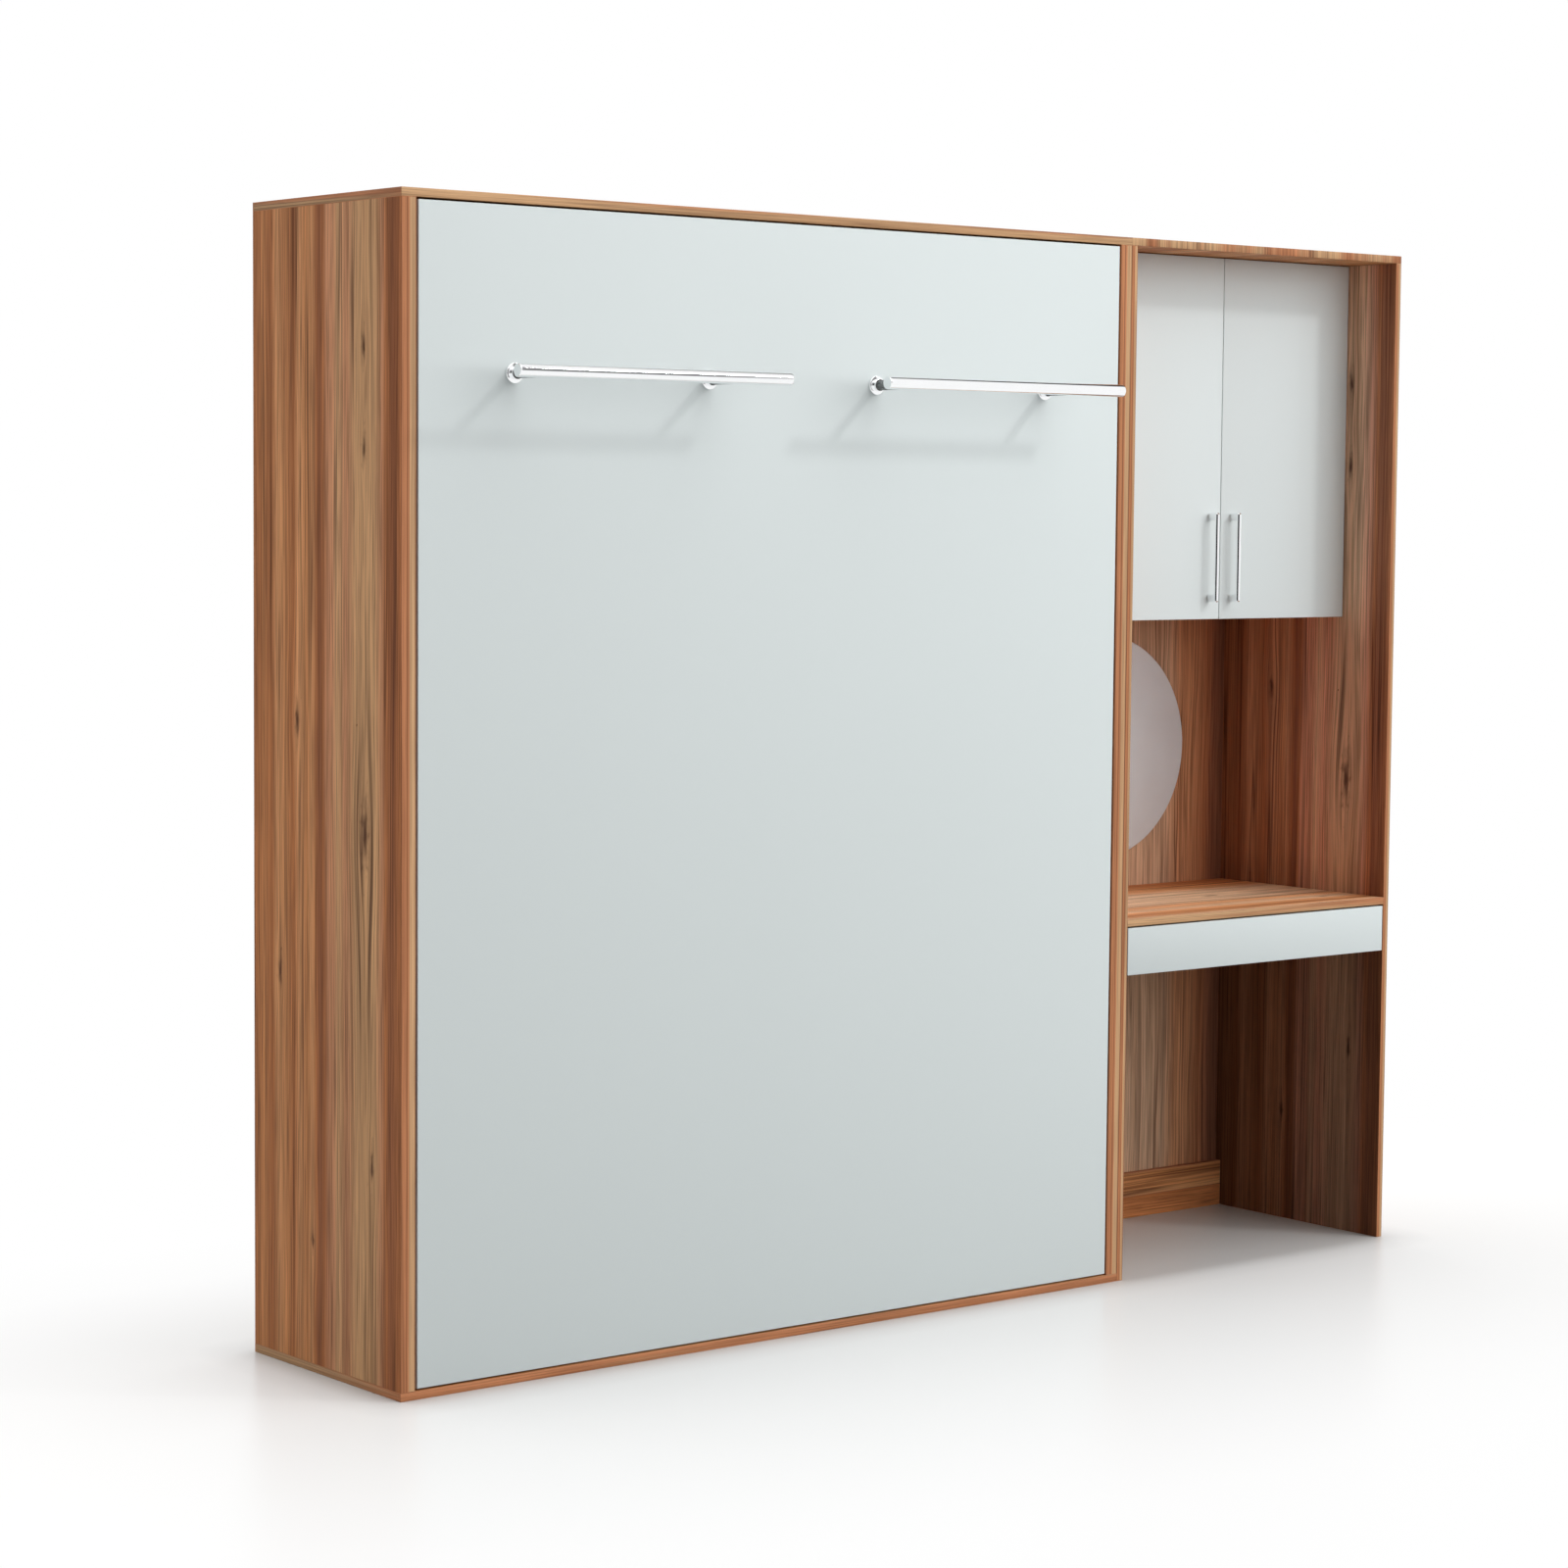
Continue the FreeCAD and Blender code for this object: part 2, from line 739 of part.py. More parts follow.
def make_mattress():
    """Mattress with a padded cover, and the straps that hold it."""
    right = mattress_left + mattress_width
    back = mattress_front + mattress_thickness
    head = mattress_foot + mattress_length
    outer = block(mattress_left, right, mattress_front, back, mattress_foot, head)
    outer = outer.makeFillet(mattress_corner, outer.Edges)
    pad = mattress_pad
    core_foot = mattress_foot + pad
    core = block(mattress_left + pad, right - pad, mattress_front + pad, back - pad, core_foot, head - pad)
    save("mattress", outer.cut(core))
    straps = []
    buckles = []
    gap = touch_gap
    outside = touch_gap + strap_thickness
    for share in strap_shares:
        middle = between_slats(share)
        z0 = middle - strap_width / 2
        z1 = middle + strap_width / 2
        loop = block(mattress_left - outside, right + outside, frame_back, back + outside, z0, z1)
        hollow = block(mattress_left - gap, right + gap, frame_back, back + gap, z0, z1)
        loop = rounded_back(loop, back, mattress_corner + strap_thickness)
        hollow = rounded_back(hollow, back, mattress_corner)
        straps.append(loop.cut(hollow))
        seat = back + outside
        half = buckle_length / 2
        low = middle - buckle_width / 2
        high = middle + buckle_width / 2
        clasp = block(bed_middle - half, bed_middle + half, seat, seat + buckle_thickness, low, high)
        rims = [edge for edge in clasp.Edges if edge.BoundBox.YMin > seat + buckle_thickness / 2]
        buckles.append(clasp.makeFillet(buckle_round, rims))
    save("straps", group(straps))
    save("strap_buckles", group(buckles))


def rounded_back(shape, back, radius):
    """Round the two upright edges at the back of a box."""
    edges = []
    for edge in shape.Edges:
        upright = abs(edge.tangentAt(edge.FirstParameter).z) > along_share
        if upright and edge.BoundBox.YMin > back - touch_gap:
            edges.append(edge)
    return shape.makeFillet(radius, edges)


def make_table_cabinet(dowels, bolts, holes):
    """Boards of the dressing table and cupboard."""
    pegs = group(dowels)
    pins = shelf_pins()
    cutters = group(dowels + bolts + pins)
    side = block(bed_width, table_left, 0, board_depth, 0, inner_top)
    save("table_side_left", side.cut(cutters))
    save("table_side_right", mirrored(side, table_middle).cut(cutters))
    save("table_top", block(bed_width, total_width, 0, board_depth, inner_top, height).cut(pegs))
    save("table_back", block(bed_width, total_width, board_depth, depth, 0, height).cut(holes))
    rail_front = board_depth - board
    rail_foot = inner_top - table_rail_height
    rail = block(table_left, table_right, rail_front, board_depth, rail_foot, inner_top)
    save("table_wall_rail", rail.cut(holes))
    desk = block(table_left, table_right, 0, board_depth, desk_underside, desk_top_height)
    save("desk_board", desk.cut(pegs))
    floor_front = door_back + door_bumper_gap
    floor_head = cupboard_floor + board
    floor = block(table_left, table_right, floor_front, board_depth, cupboard_floor, floor_head)
    save("cupboard_floor", floor.cut(pegs))
    shelf_left = table_left + shelf_side_gap
    shelf_right = table_right - shelf_side_gap
    shelf_front = door_back + shelf_front_gap
    shelf_back = board_depth - shelf_back_gap
    shelf = block(shelf_left, shelf_right, shelf_front, shelf_back, shelf_height, shelf_height + board)
    save("cupboard_shelf", shelf)
    save("shelf_pins", group(pins))
    low = block(table_left, table_right, rail_front, board_depth, 0, plinth_seam_height)
    high = block(table_left, table_right, rail_front, board_depth, plinth_seam_height, plinth_height)
    save("plinth_boards", group([low, high]))


def make_mirror():
    """Round mirror on its backing board."""
    back = rod(mirror_back_radius, table_middle, board_depth, mirror_height, -Y, mirror_back_thickness)
    save("mirror_backing", back)
    seat = board_depth - mirror_back_thickness
    glass = rod(mirror_radius, table_middle, seat, mirror_height, -Y, mirror_thickness)
    front = seat - mirror_thickness / 2
    rim = [edge for edge in glass.Edges if edge.BoundBox.YMax < front]
    save("mirror_glass", glass.makeChamfer(mirror_bevel, rim))


def hinge_heights():
    """Middle height of the upper and lower hinge of a door."""
    return (door_foot + hinge_end_distance, door_head - hinge_end_distance)


def hinge_cup(z):
    """Cup of a left hinge, sunk in the back of the door."""
    x = table_left + edge_gap + cup_edge + cup_radius
    cup = rod(cup_radius, x, door_back, z, -Y, cup_depth)
    right = x + cup_plate_width
    seat = door_back + cup_plate
    hollow = rod(cup_radius - cup_wall, x, seat, z, -Y, cup_depth)
    plate = block(x - cup_plate_width, right, door_back, seat, z - cup_ear, z + cup_ear)
    half = arm_width / 2
    window = block(x - cup_plate_width / 2, right, door_back, seat, z - half, z + half)
    return cup.cut(hollow).fuse(plate.cut(window)).removeSplitter()


def hinge_arm(z):
    """Arm of a left hinge, on the cupboard side."""
    foot_y = door_back + arm_length
    left = table_left + arm_foot
    half = arm_foot_width / 2
    foot = block(table_left, left, foot_y - arm_foot_length, foot_y, z - half, z + half)
    start = door_back + cup_plate + arm_gap
    low = z - arm_width / 2
    high = z + arm_width / 2
    arm = block(left, left + arm_height, start, foot_y, low, high)
    crank = block(left, left + arm_reach, start, start + arm_crank, low, high)
    return fused([foot, arm, crank])


def door_handle():
    """Bow handle of the left door."""
    x = table_middle - handle_from_split
    half = handle_width / 2
    front = door_setback - handle_standoff
    foot = door_foot + handle_above_edge
    head = foot + handle_length
    bow = block(x - half, x + half, front, door_setback, foot, head)
    gap_front = front + handle_thickness
    gap = block(x - half, x + half, gap_front, door_setback, foot + handle_post, head - handle_post)
    bow = bow.cut(gap)
    rims = [edge for edge in bow.Edges if edge.BoundBox.YMax < gap_front - handle_round]
    return bow.makeFillet(handle_round, rims)


def make_doors():
    """Cupboard doors with handles, cups and hinge arms."""
    left = table_left + edge_gap
    right = table_middle - edge_gap / 2
    cups = [hinge_cup(z) for z in hinge_heights()]
    arms = [hinge_arm(z) for z in hinge_heights()]
    door = block(left, right, door_setback, door_back, door_foot, door_head)
    pocket_x = table_left + edge_gap + cup_edge + cup_radius
    for z in hinge_heights():
        door = door.cut(rod(cup_radius, pocket_x, door_back, z, -Y, cup_depth))
    handle = door_handle()
    save("door_left", door)
    save("door_right", mirrored(door, table_middle))
    save("door_handle_left", handle)
    save("door_handle_right", mirrored(handle, table_middle))
    save("hinge_cups_left", group(cups))
    save("hinge_cups_right", group([mirrored(cup, table_middle) for cup in cups]))
    save("hinge_arms", group(arms + [mirrored(arm, table_middle) for arm in arms]))


def channel(web, lip_start, lip_end, half_height):
    """A runner member: an upright web and two lips, drawn from the cabinet side."""
    y0 = board + runner_front_gap
    y1 = y0 + runner_length
    middle = drawer_foot + drawer_foot_gap + drawer_side_height / 2
    low = middle - half_height
    high = middle + half_height
    spine = block(table_left + web, table_left + web + runner_sheet, y0, y1, low, high)
    top = block(table_left + lip_start, table_left + lip_end, y0, y1, high - runner_sheet, high)
    base = block(table_left + lip_start, table_left + lip_end, y0, y1, low, low + runner_sheet)
    return fused([spine, top, base])


def make_drawer():
    """Shallow drawer under the desk, on telescopic runners."""
    step = runner_sheet + runner_race_gap
    half = runner_height / 2
    outer = channel(0, 0, runner_outer_lip, half)
    middle_end = runner_middle_inset + runner_middle_lip
    middle = channel(runner_middle_inset, runner_middle_inset, middle_end, half - step)
    inner_start = runner_width - runner_inner_lip
    inner = channel(runner_width - runner_sheet, inner_start, runner_width, half - step * 2)
    save("runner_outers", group(both_sides(outer, table_middle)))
    save("runner_middles", group(both_sides(middle, table_middle)))
    save("runner_inners", group(both_sides(inner, table_middle)))
    front = block(table_left + edge_gap, table_right - edge_gap, 0, board, drawer_foot, drawer_top)
    save("drawer_front", front)
    left = table_left + runner_width
    foot = drawer_foot + drawer_foot_gap
    head = foot + drawer_side_height
    back = board + drawer_depth
    bottom_foot = foot + drawer_bottom_rise
    bottom_head = bottom_foot + drawer_bottom
    side = block(left, left + drawer_side, board, back, foot, head)
    inner_left = left + drawer_side
    bottom_left = inner_left - drawer_groove
    bottom_right = table_middle * 2 - bottom_left
    bottom = block(bottom_left, bottom_right, board, back, bottom_foot, bottom_head)
    side = side.cut(bottom)
    inner_right = table_middle * 2 - inner_left
    rear = block(inner_left, inner_right, back - drawer_side, back, bottom_head, head)
    save("drawer_box", group(both_sides(side, table_middle) + [rear]))
    save("drawer_bottom", bottom)


def make_bumpers(panel_bumpers):
    """Rubber bumpers behind the front panel and the cupboard doors."""
    radius = bumper_radius / 2
    z = cupboard_floor + board / 2
    x = table_middle - bumper_radius * 2
    bumper = rod(radius, x, door_back + door_bumper_gap, z, -Y, door_bumper_gap - touch_gap)
    save("rubber_bumpers", group(panel_bumpers + both_sides(bumper, table_middle)))


def main():
    os.makedirs("parts", exist_ok=True)
    dowels = all_dowels()
    bolts = join_bolts()
    holes = wall_holes()
    save("dowels", group(dowels))
    make_bed_cabinet(dowels, bolts, holes)
    panel_bumpers = make_pivot_parts()
    make_struts()
    make_front_panel()
    make_bars()
    make_frame()
    make_levers()
    make_mattress()
    make_table_cabinet(dowels, bolts, holes)
    make_mirror()
    make_doors()
    make_drawer()
    make_bumpers(panel_bumpers)


main()
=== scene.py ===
"""Looks of a fold-down wall bed with a dressing table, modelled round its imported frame.

All sizes are in metres, in the frame's own place: +X to the right as seen from the front,
+Y back to the wall and +Z up from the floor.
"""

import json
import math
from contextlib import contextmanager

import bmesh
import bpy
from bpy.props import FloatProperty, FloatVectorProperty, IntProperty, PointerProperty
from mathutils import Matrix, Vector

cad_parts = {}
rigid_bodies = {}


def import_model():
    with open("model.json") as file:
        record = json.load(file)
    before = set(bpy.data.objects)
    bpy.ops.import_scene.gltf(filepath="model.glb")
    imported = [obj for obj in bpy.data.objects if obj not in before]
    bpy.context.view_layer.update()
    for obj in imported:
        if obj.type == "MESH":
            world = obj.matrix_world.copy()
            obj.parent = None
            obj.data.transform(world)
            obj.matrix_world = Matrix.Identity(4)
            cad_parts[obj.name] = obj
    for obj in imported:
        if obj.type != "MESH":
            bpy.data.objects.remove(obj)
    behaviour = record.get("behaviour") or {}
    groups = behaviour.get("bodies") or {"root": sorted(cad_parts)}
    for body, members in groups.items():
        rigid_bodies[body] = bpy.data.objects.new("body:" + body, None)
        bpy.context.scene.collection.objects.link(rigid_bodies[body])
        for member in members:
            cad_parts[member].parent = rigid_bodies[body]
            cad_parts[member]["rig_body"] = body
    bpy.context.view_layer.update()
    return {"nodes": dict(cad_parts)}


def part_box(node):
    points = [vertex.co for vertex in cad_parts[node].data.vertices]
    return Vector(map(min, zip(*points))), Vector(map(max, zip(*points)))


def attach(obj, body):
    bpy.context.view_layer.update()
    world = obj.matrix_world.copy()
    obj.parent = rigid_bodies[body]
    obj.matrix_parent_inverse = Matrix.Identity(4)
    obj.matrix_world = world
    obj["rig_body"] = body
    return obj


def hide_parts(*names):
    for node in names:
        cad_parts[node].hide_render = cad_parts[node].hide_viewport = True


bl_info = {
    "name": "Wall bed with dressing table",
    "version": (1, 0, 0),
    "blender": (4, 5, 0),
    "location": "View3D > Sidebar > Wall bed",
    "description": "Models the boards, fronts, bars, bedding and fittings of a wall bed",
    "category": "Object",
}

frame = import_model()
nodes = frame["nodes"]

SHARP = math.radians(32)
AXES = "XYZ"

# Settings that the panel shows


def hue(red, green, blue):
    """A colour picked on screen, 0 to 255, as the linear values that shaders take."""
    shares = [value / 255 for value in (red, green, blue)]
    return tuple(s / 12.92 if s < 0.04045 else ((s + 0.055) / 1.055) ** 2.4 for s in shares)


def colour(name, description, value):
    """A colour that the panel shows as a swatch."""
    return FloatVectorProperty(
        name=name, description=description, subtype="COLOR", size=3, min=0, max=1, default=hue(*value)
    )


def length(name, description, value):
    """A length that the panel shows in the scene's units."""
    return FloatProperty(
        name=name, description=description, unit="LENGTH", min=0, precision=4, default=value
    )


def count(name, description, value, least):
    """A whole number."""
    return IntProperty(name=name, description=description, default=value, min=least)


def strength(name, description, value, unit="NONE"):
    """The strength of a light, or the power of a lamp."""
    return FloatProperty(name=name, description=description, unit=unit, min=0, default=value)


def direction(name, description, value):
    """A direction from the bed outwards."""
    return FloatVectorProperty(name=name, description=description, subtype="DIRECTION", default=value)


class WallBedColours(bpy.types.PropertyGroup):
    """Colours of the finishes."""

    umber: colour("Umber", "Darkest planks of the walnut face", (174, 109, 70))
    chestnut: colour("Chestnut", "Red-brown planks of the walnut face", (208, 132, 80))
    walnut: colour("Walnut", "Middle planks of the walnut face", (227, 155, 99))
    tan: colour("Tan", "Light planks of the walnut face", (243, 175, 119))
    rose: colour("Rose", "Pinkish planks of the walnut face", (228, 162, 118))
    olive: colour("Olive", "Grey-brown planks of the walnut face", (234, 182, 131))
    blond: colour("Blond", "Palest planks of the desk board", (250, 212, 172))
    line: colour("Dark line", "Thin dark lines and knots of the grain", (74, 38, 24))
    band_dark: colour("Band dark", "Thin dark lines of the edge bands", (138, 88, 60))
    band_mid: colour("Band middle", "Orange stripes of the edge bands", (201, 135, 94))
    band_pale: colour("Band pale", "Pale stripes of the edge bands", (208, 166, 124))
    lacquer: colour("Lacquer", "Satin lacquer of the front panel, doors and drawer", (213, 221, 221))
    # Painted light: the doors' lacquer is the front's lacquer made lighter, to make up for the shade in
    # their recess
    door: colour("Door", "Satin lacquer of the cupboard doors", (222, 229, 229))
    hardboard: colour("Hardboard", "Raw back of the thin rear sheets", (139, 104, 72))
    chrome: colour("Chrome", "Plated bars and handles", (251, 252, 253))
    zinc: colour("Zinc", "Plates, runners and screws", (192, 196, 200))
    bronze: colour("Bronze", "Sintered bushes", (186, 142, 84))
    silver: colour("Mirror", "Satin silver of the mirror", (248, 252, 255))
    backing: colour("Backing", "Board behind the mirror", (92, 78, 66))
    frame_paint: colour("Frame paint", "Powder coat of the bed frame", (46, 47, 50))
    strut: colour("Strut", "Enamel of the gas struts", (28, 28, 30))
    plastic: colour("Plastic", "Holders and buckles", (34, 34, 36))
    rubber: colour("Rubber", "Bumpers", (28, 27, 27))
    birch: colour("Birch", "Slats and drawer sides", (222, 190, 146))
    beech: colour("Beech", "Dowels", (214, 172, 128))
    ticking: colour("Ticking", "Cloth of the mattress", (206, 203, 197))
    border: colour("Border", "Knitted border of the mattress", (196, 194, 190))
    piping: colour("Piping", "Corded edge of the mattress", (150, 150, 152))
    webbing: colour("Webbing", "Mattress straps", (58, 60, 66))


class WallBedSizes(bpy.types.PropertyGroup):
    """Small sizes that only the looks need."""

    board_round: length("Board edge", "Radius along the edges of the boards", 0.0006)
    band: length("Edge band", "Thickness of the edge bands", 0.001)
    front_round: length("Front edge", "Radius along the edges of the lacquered fronts", 0.0012)
    drawer_gap: length("Drawer gap", "Added to the dark gap over the drawer front", 0.0015)
    metal_round: length("Metal edge", "Radius along the edges of metal pieces", 0.0008)
    handle_bow: length("Handle bow", "Depth of the door handles' grip", 0.008)
    handle_leg: length("Handle leg", "Height of the door handles' feet", 0.016)
    handle_chamfer: length("Handle chamfer", "Flat chamfer along the edges of the door handles", 0.0024)
    tube_wall: length("Bar wall", "Wall of the pull bars", 0.0015)
    post_radius: length("Post radius", "Radius of the pull bars' posts", 0.01)
    post_collar: length("Post collar", "Height of the collar at the foot of a post", 0.008)
    cup_depth: length("Cup pocket", "Depth of the hinge cup pockets", 0.0115)
    cup_radius: length("Cup radius", "Radius of the hinge cup pockets", 0.0175)
    cup_ear: length("Cup ear", "From the end of a cup's ears to its middle", 0.026)
    cross_rail: length("Cross rail", "Width of the bed frame's cross rails", 0.03)
    rail_round: length("Rail corner", "Outer corner radius of the bed frame's tubes", 0.004)
    rail_wall: length("Rail wall", "Wall of the bed frame's tubes", 0.002)
    slats: count("Slats", "Slats in each of the two rows", 15, 2)
    slat_width: length("Slat width", "Width of a slat", 0.053)
    slat_rest: length("Slat rest", "Part of a slat that lies on the middle beam", 0.009)
    slat_round: length("Slat edge", "Radius along the edges of the slats", 0.0025)
    mirror_bevel: length("Mirror bevel", "Width of the mirror's ground edge", 0.003)
    quilt_cell: length("Quilt cell", "Spacing of the points on the mattress cover", 0.025)
    quilt_rise: length("Quilt rise", "Most that the cover may puff out", 0.009)
    quilt_span: count("Quilt span", "Points between two seams", 8, 2)
    stitch_width: length("Stitch width", "Half width of the stitched seams", 0.0022)
    piping_radius: length("Piping radius", "Radius of the mattress piping", 0.0045)
    piping_corner: length("Piping corner", "Cut of the piping at the mattress corners", 0.02)
    strap_width: length("Strap width", "Width of the webbing straps", 0.04)
    strap_depth: length("Strap thickness", "Thickness of the webbing straps", 0.002)
    strap_corner: length("Strap corner", "Radius of the straps round the mattress", 0.025)
    strap_start: length("Strap start", "First stretch of a strap, before it is drawn out", 0.02)
    strap_round: length("Strap edge", "Radius along the edges of the straps", 0.0005)
    buckle_height: length("Buckle height", "Height of a cam buckle", 0.056)
    buckle_round: length("Buckle edge", "Radius along the edges of the buckles", 0.0012)
    plinth_seam: length("Plinth seam", "Height of the seam between the plinth boards", 0.05)
    round_steps: count("Round steps", "Sides of the round metal pieces", 96, 24)


class WallBedStudio(bpy.types.PropertyGroup):
    """Camera, lamps and floor."""

    camera_place: FloatVectorProperty(
        name="Camera place",
        description="Where the camera stands",
        unit="LENGTH",
        default=(-5.007327, -5.878052, 1.645602),
    )
    camera_turn: FloatVectorProperty(
        name="Camera turn",
        description="Rotation of the camera",
        subtype="EULER",
        default=(math.radians(85.70288), math.radians(-0.48825), math.radians(-38.75073)),
    )
    lens: FloatProperty(name="Lens", description="Focal length in millimetres", default=86.26, min=1)
    dome: strength("Dome", "Strength of the even light all round", 1.65)
    window: strength("Window", "Light added low at the front", 1.72)
    top_power: strength("Top", "Power of the soft lamp above the front", 285, "POWER")
    top_toward: direction("Top direction", "From the bed to the top lamp", (0, -0.492, 0.870))
    top_size: length("Top size", "Side of the top lamp", 12)
    key_power: strength("Key", "Power of the small lamp at the right", 215, "POWER")
    key_toward: direction("Key direction", "From the bed to the key lamp", (0.578, -0.605, 0.547))
    key_size: length("Key size", "Side of the key lamp", 1.0)
    lamp_distance: length("Lamp distance", "From the pull bars to each lamp", 12)
    floor: colour("Floor", "Colour of the floor where it is seen", (224, 224, 223))
    floor_bounce: colour("Floor bounce", "Colour that the floor throws back on the bed", (122, 121, 120))


def tones(*names):
    """Finish colours, asked for by their names."""
    return [tuple(getattr(bpy.context.scene.wall_bed_colours, name)) for name in names]


def sizes():
    """The small sizes."""
    return bpy.context.scene.wall_bed_sizes


# Modelling with operators


def deselect_all():
    """Nothing selected, in object mode."""
    bpy.ops.object.select_all(action="DESELECT")


def single_out(piece):
    """The piece alone selected and active."""
    deselect_all()
    piece.select_set(True)
    bpy.context.view_layer.objects.active = piece


def name_piece(piece, name):
    """One name for a piece and its mesh."""
    piece.name = name
    piece.data.name = name
    return piece


def settle(name):
    """Name the new primitive and put its place in its mesh."""
    bpy.ops.object.transform_apply(location=True, rotation=True, scale=True)
    return name_piece(bpy.context.object, name)


def add_block(name, low, high):
    """A block between two corners, ready to be shaped."""
    deselect_all()
    low, high = Vector(low), Vector(high)
    bpy.ops.mesh.primitive_cube_add(size=1, location=(low + high) / 2, scale=high - low)
    return settle(name)


def add_round(name, centre, axis, radius, depth, steps=None):
    """A round bar along an axis, centred on a point."""
    deselect_all()
    turns = {"X": (0, math.pi / 2, 0), "Y": (math.pi / 2, 0, 0), "Z": (0, 0, 0)}
    steps = steps or sizes().round_steps
    bpy.ops.mesh.primitive_cylinder_add(
        vertices=steps, radius=radius, depth=depth, location=centre, rotation=turns[axis]
    )
    return settle(name)


@contextmanager
def shaping(piece, kind="FACE", test=None):
    """The piece alone in edit mode, with the faces or edges selected that pass a test."""
    single_out(piece)
    bpy.ops.object.mode_set(mode="EDIT")
    bpy.ops.mesh.select_mode(type=kind)
    bpy.ops.mesh.select_all(action="DESELECT")
    if test:
        pick(piece, kind, test)
    yield
    bpy.ops.object.mode_set(mode="OBJECT")


def pick(piece, kind, test):
    """Select the faces or edges that pass a test, and nothing else."""
    mesh = bmesh.from_edit_mesh(piece.data)
    parts = mesh.faces if kind == "FACE" else mesh.edges
    for part in parts:
        part.select_set(False)
    for part in parts:
        if test(part):
            part.select_set(True)
    bmesh.update_edit_mesh(piece.data)


def middle(edge):
    """Middle point of an edge."""
    return (edge.verts[0].co + edge.verts[1].co) / 2


def runs_along(edge, axis):
    """Whether an edge points along an axis."""
    way = (edge.verts[1].co - edge.verts[0].co).normalized()
    return abs(way[AXES.index(axis)]) > 0.99


def push_out(shift):
    """Pull new faces or edges out of the selected ones."""
    bpy.ops.mesh.extrude_region_move(TRANSFORM_OT_translate={"value": shift})


def bevel(piece, radius, steps, test):
    """Bevel the edges of a piece that pass a test."""
    with shaping(piece, "EDGE", test):
        bpy.ops.mesh.bevel(offset=radius, segments=steps, affect="EDGES")


def hollow(piece, axis, wall):
    """Turn a bar into a tube, its two ends inset and joined through."""
    index = AXES.index(axis)
    with shaping(piece, "FACE", lambda face: abs(face.normal[index]) > 0.9):
        bpy.ops.mesh.inset(thickness=wall)
        bpy.ops.mesh.bridge_edge_loops()


def front_rim(half):
    """A test for the edges round the front of a disc that stands upright."""
    return lambda edge: not runs_along(edge, "Y") and middle(edge).y < half


def round_edges(piece, radius, steps=2):
    """Round every sharp edge of a piece and shade it smooth up to them."""
    with shaping(piece, "EDGE"):
        bpy.ops.mesh.edges_select_sharp(sharpness=SHARP)
        bpy.ops.mesh.bevel(offset=radius, segments=steps, affect="EDGES", clamp_overlap=True)
    smooth(piece)


def smooth(piece):
    """Smooth shading that keeps sharp corners."""
    single_out(piece)
    bpy.ops.object.shade_smooth_by_angle(angle=SHARP)


def outward(piece):
    """Merge doubles and turn every face outwards."""
    with shaping(piece, "VERT"):
        bpy.ops.mesh.select_all(action="SELECT")
        bpy.ops.mesh.remove_doubles(threshold=1e-6)
        bpy.ops.mesh.normals_make_consistent(inside=False)


def cut_at(piece, axis, place):
    """Cut all faces of a piece along a plane square to an axis."""
    across = [1.0 if letter == axis else 0.0 for letter in AXES]
    with shaping(piece):
        bpy.ops.mesh.select_all(action="SELECT")
        bpy.ops.mesh.bisect(plane_co=[place * share for share in across], plane_no=across)


def copy_piece(piece, name, shift):
    """A copy with a mesh of its own, moved by a distance."""
    single_out(piece)
    bpy.ops.object.duplicate(linked=False)
    twin = bpy.context.object
    twin.location = shift
    bpy.ops.object.transform_apply(location=True, rotation=False, scale=False)
    return name_piece(twin, name)


def join(pieces, name):
    """Several meshes as one piece."""
    deselect_all()
    for piece in pieces:
        piece.select_set(True)
    bpy.context.view_layer.objects.active = pieces[0]
    bpy.ops.object.join()
    return name_piece(pieces[0], name)


def apply_modifier(piece, kind, **settings):
    """Add a modifier to a piece and apply it."""
    single_out(piece)
    bpy.ops.object.modifier_add(type=kind)
    modifier = piece.modifiers[-1]
    for name, value in settings.items():
        setattr(modifier, name, value)
    bpy.ops.object.modifier_apply(modifier=modifier.name)


def carve(piece, cutter):
    """Take one piece out of another and delete it."""
    apply_modifier(piece, "BOOLEAN", operation="DIFFERENCE", solver="EXACT", object=cutter)
    bpy.data.objects.remove(cutter, do_unlink=True)


def fit(piece, node):
    """Let a finished piece stand for a node of the frame, on the same body."""
    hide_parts(node)
    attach(piece, nodes[node]["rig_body"])


def paint(piece, *names):
    """Give a piece its finishes, the first on every face."""
    piece.data.materials.clear()
    for name in names:
        piece.data.materials.append(finishes[name])
    return piece


def polish(piece, name):
    """Smooth shading and one finish."""
    smooth(piece)
    return paint(piece, name)


def paint_node(node, name):
    """Give a node of the frame its finish."""
    for slot in nodes[node].material_slots:
        slot.material = finishes[name]


# Shader nodes


def plug(node, inputs):
    """Link or set the inputs of a node."""
    for key, value in inputs.items():
        if isinstance(value, bpy.types.NodeSocket):
            node.id_data.links.new(value, node.inputs[key])
        else:
            node.inputs[key].default_value = value


def add(tree, kind, inputs=None, **settings):
    """A shader node with its settings and inputs."""
    made = tree.nodes.new("ShaderNode" + kind)
    for name, value in settings.items():
        setattr(made, name, value)
    plug(made, inputs or {})
    return made


def use(kind, inputs, **settings):
    """A shader node in the tree that its inputs come from."""
    linked = [value for value in inputs.values() if isinstance(value, bpy.types.NodeSocket)]
    return add(linked[0].id_data, kind, inputs, **settings)


def reckon(operation, *values):
    """The result of one sum on numbers."""
    return use("Math", dict(enumerate(values)), operation=operation).outputs[0]


def times(first, second):
    """Two numbers multiplied."""
    return reckon("MULTIPLY", first, second)


def largest(first, *others):
    """The largest of several numbers."""
    for value in others:
        first = reckon("MAXIMUM", first, value)
    return first


def rescale(value, scale, start):
    """A number scaled, from a start."""
    return reckon("MULTIPLY_ADD", value, scale, start)


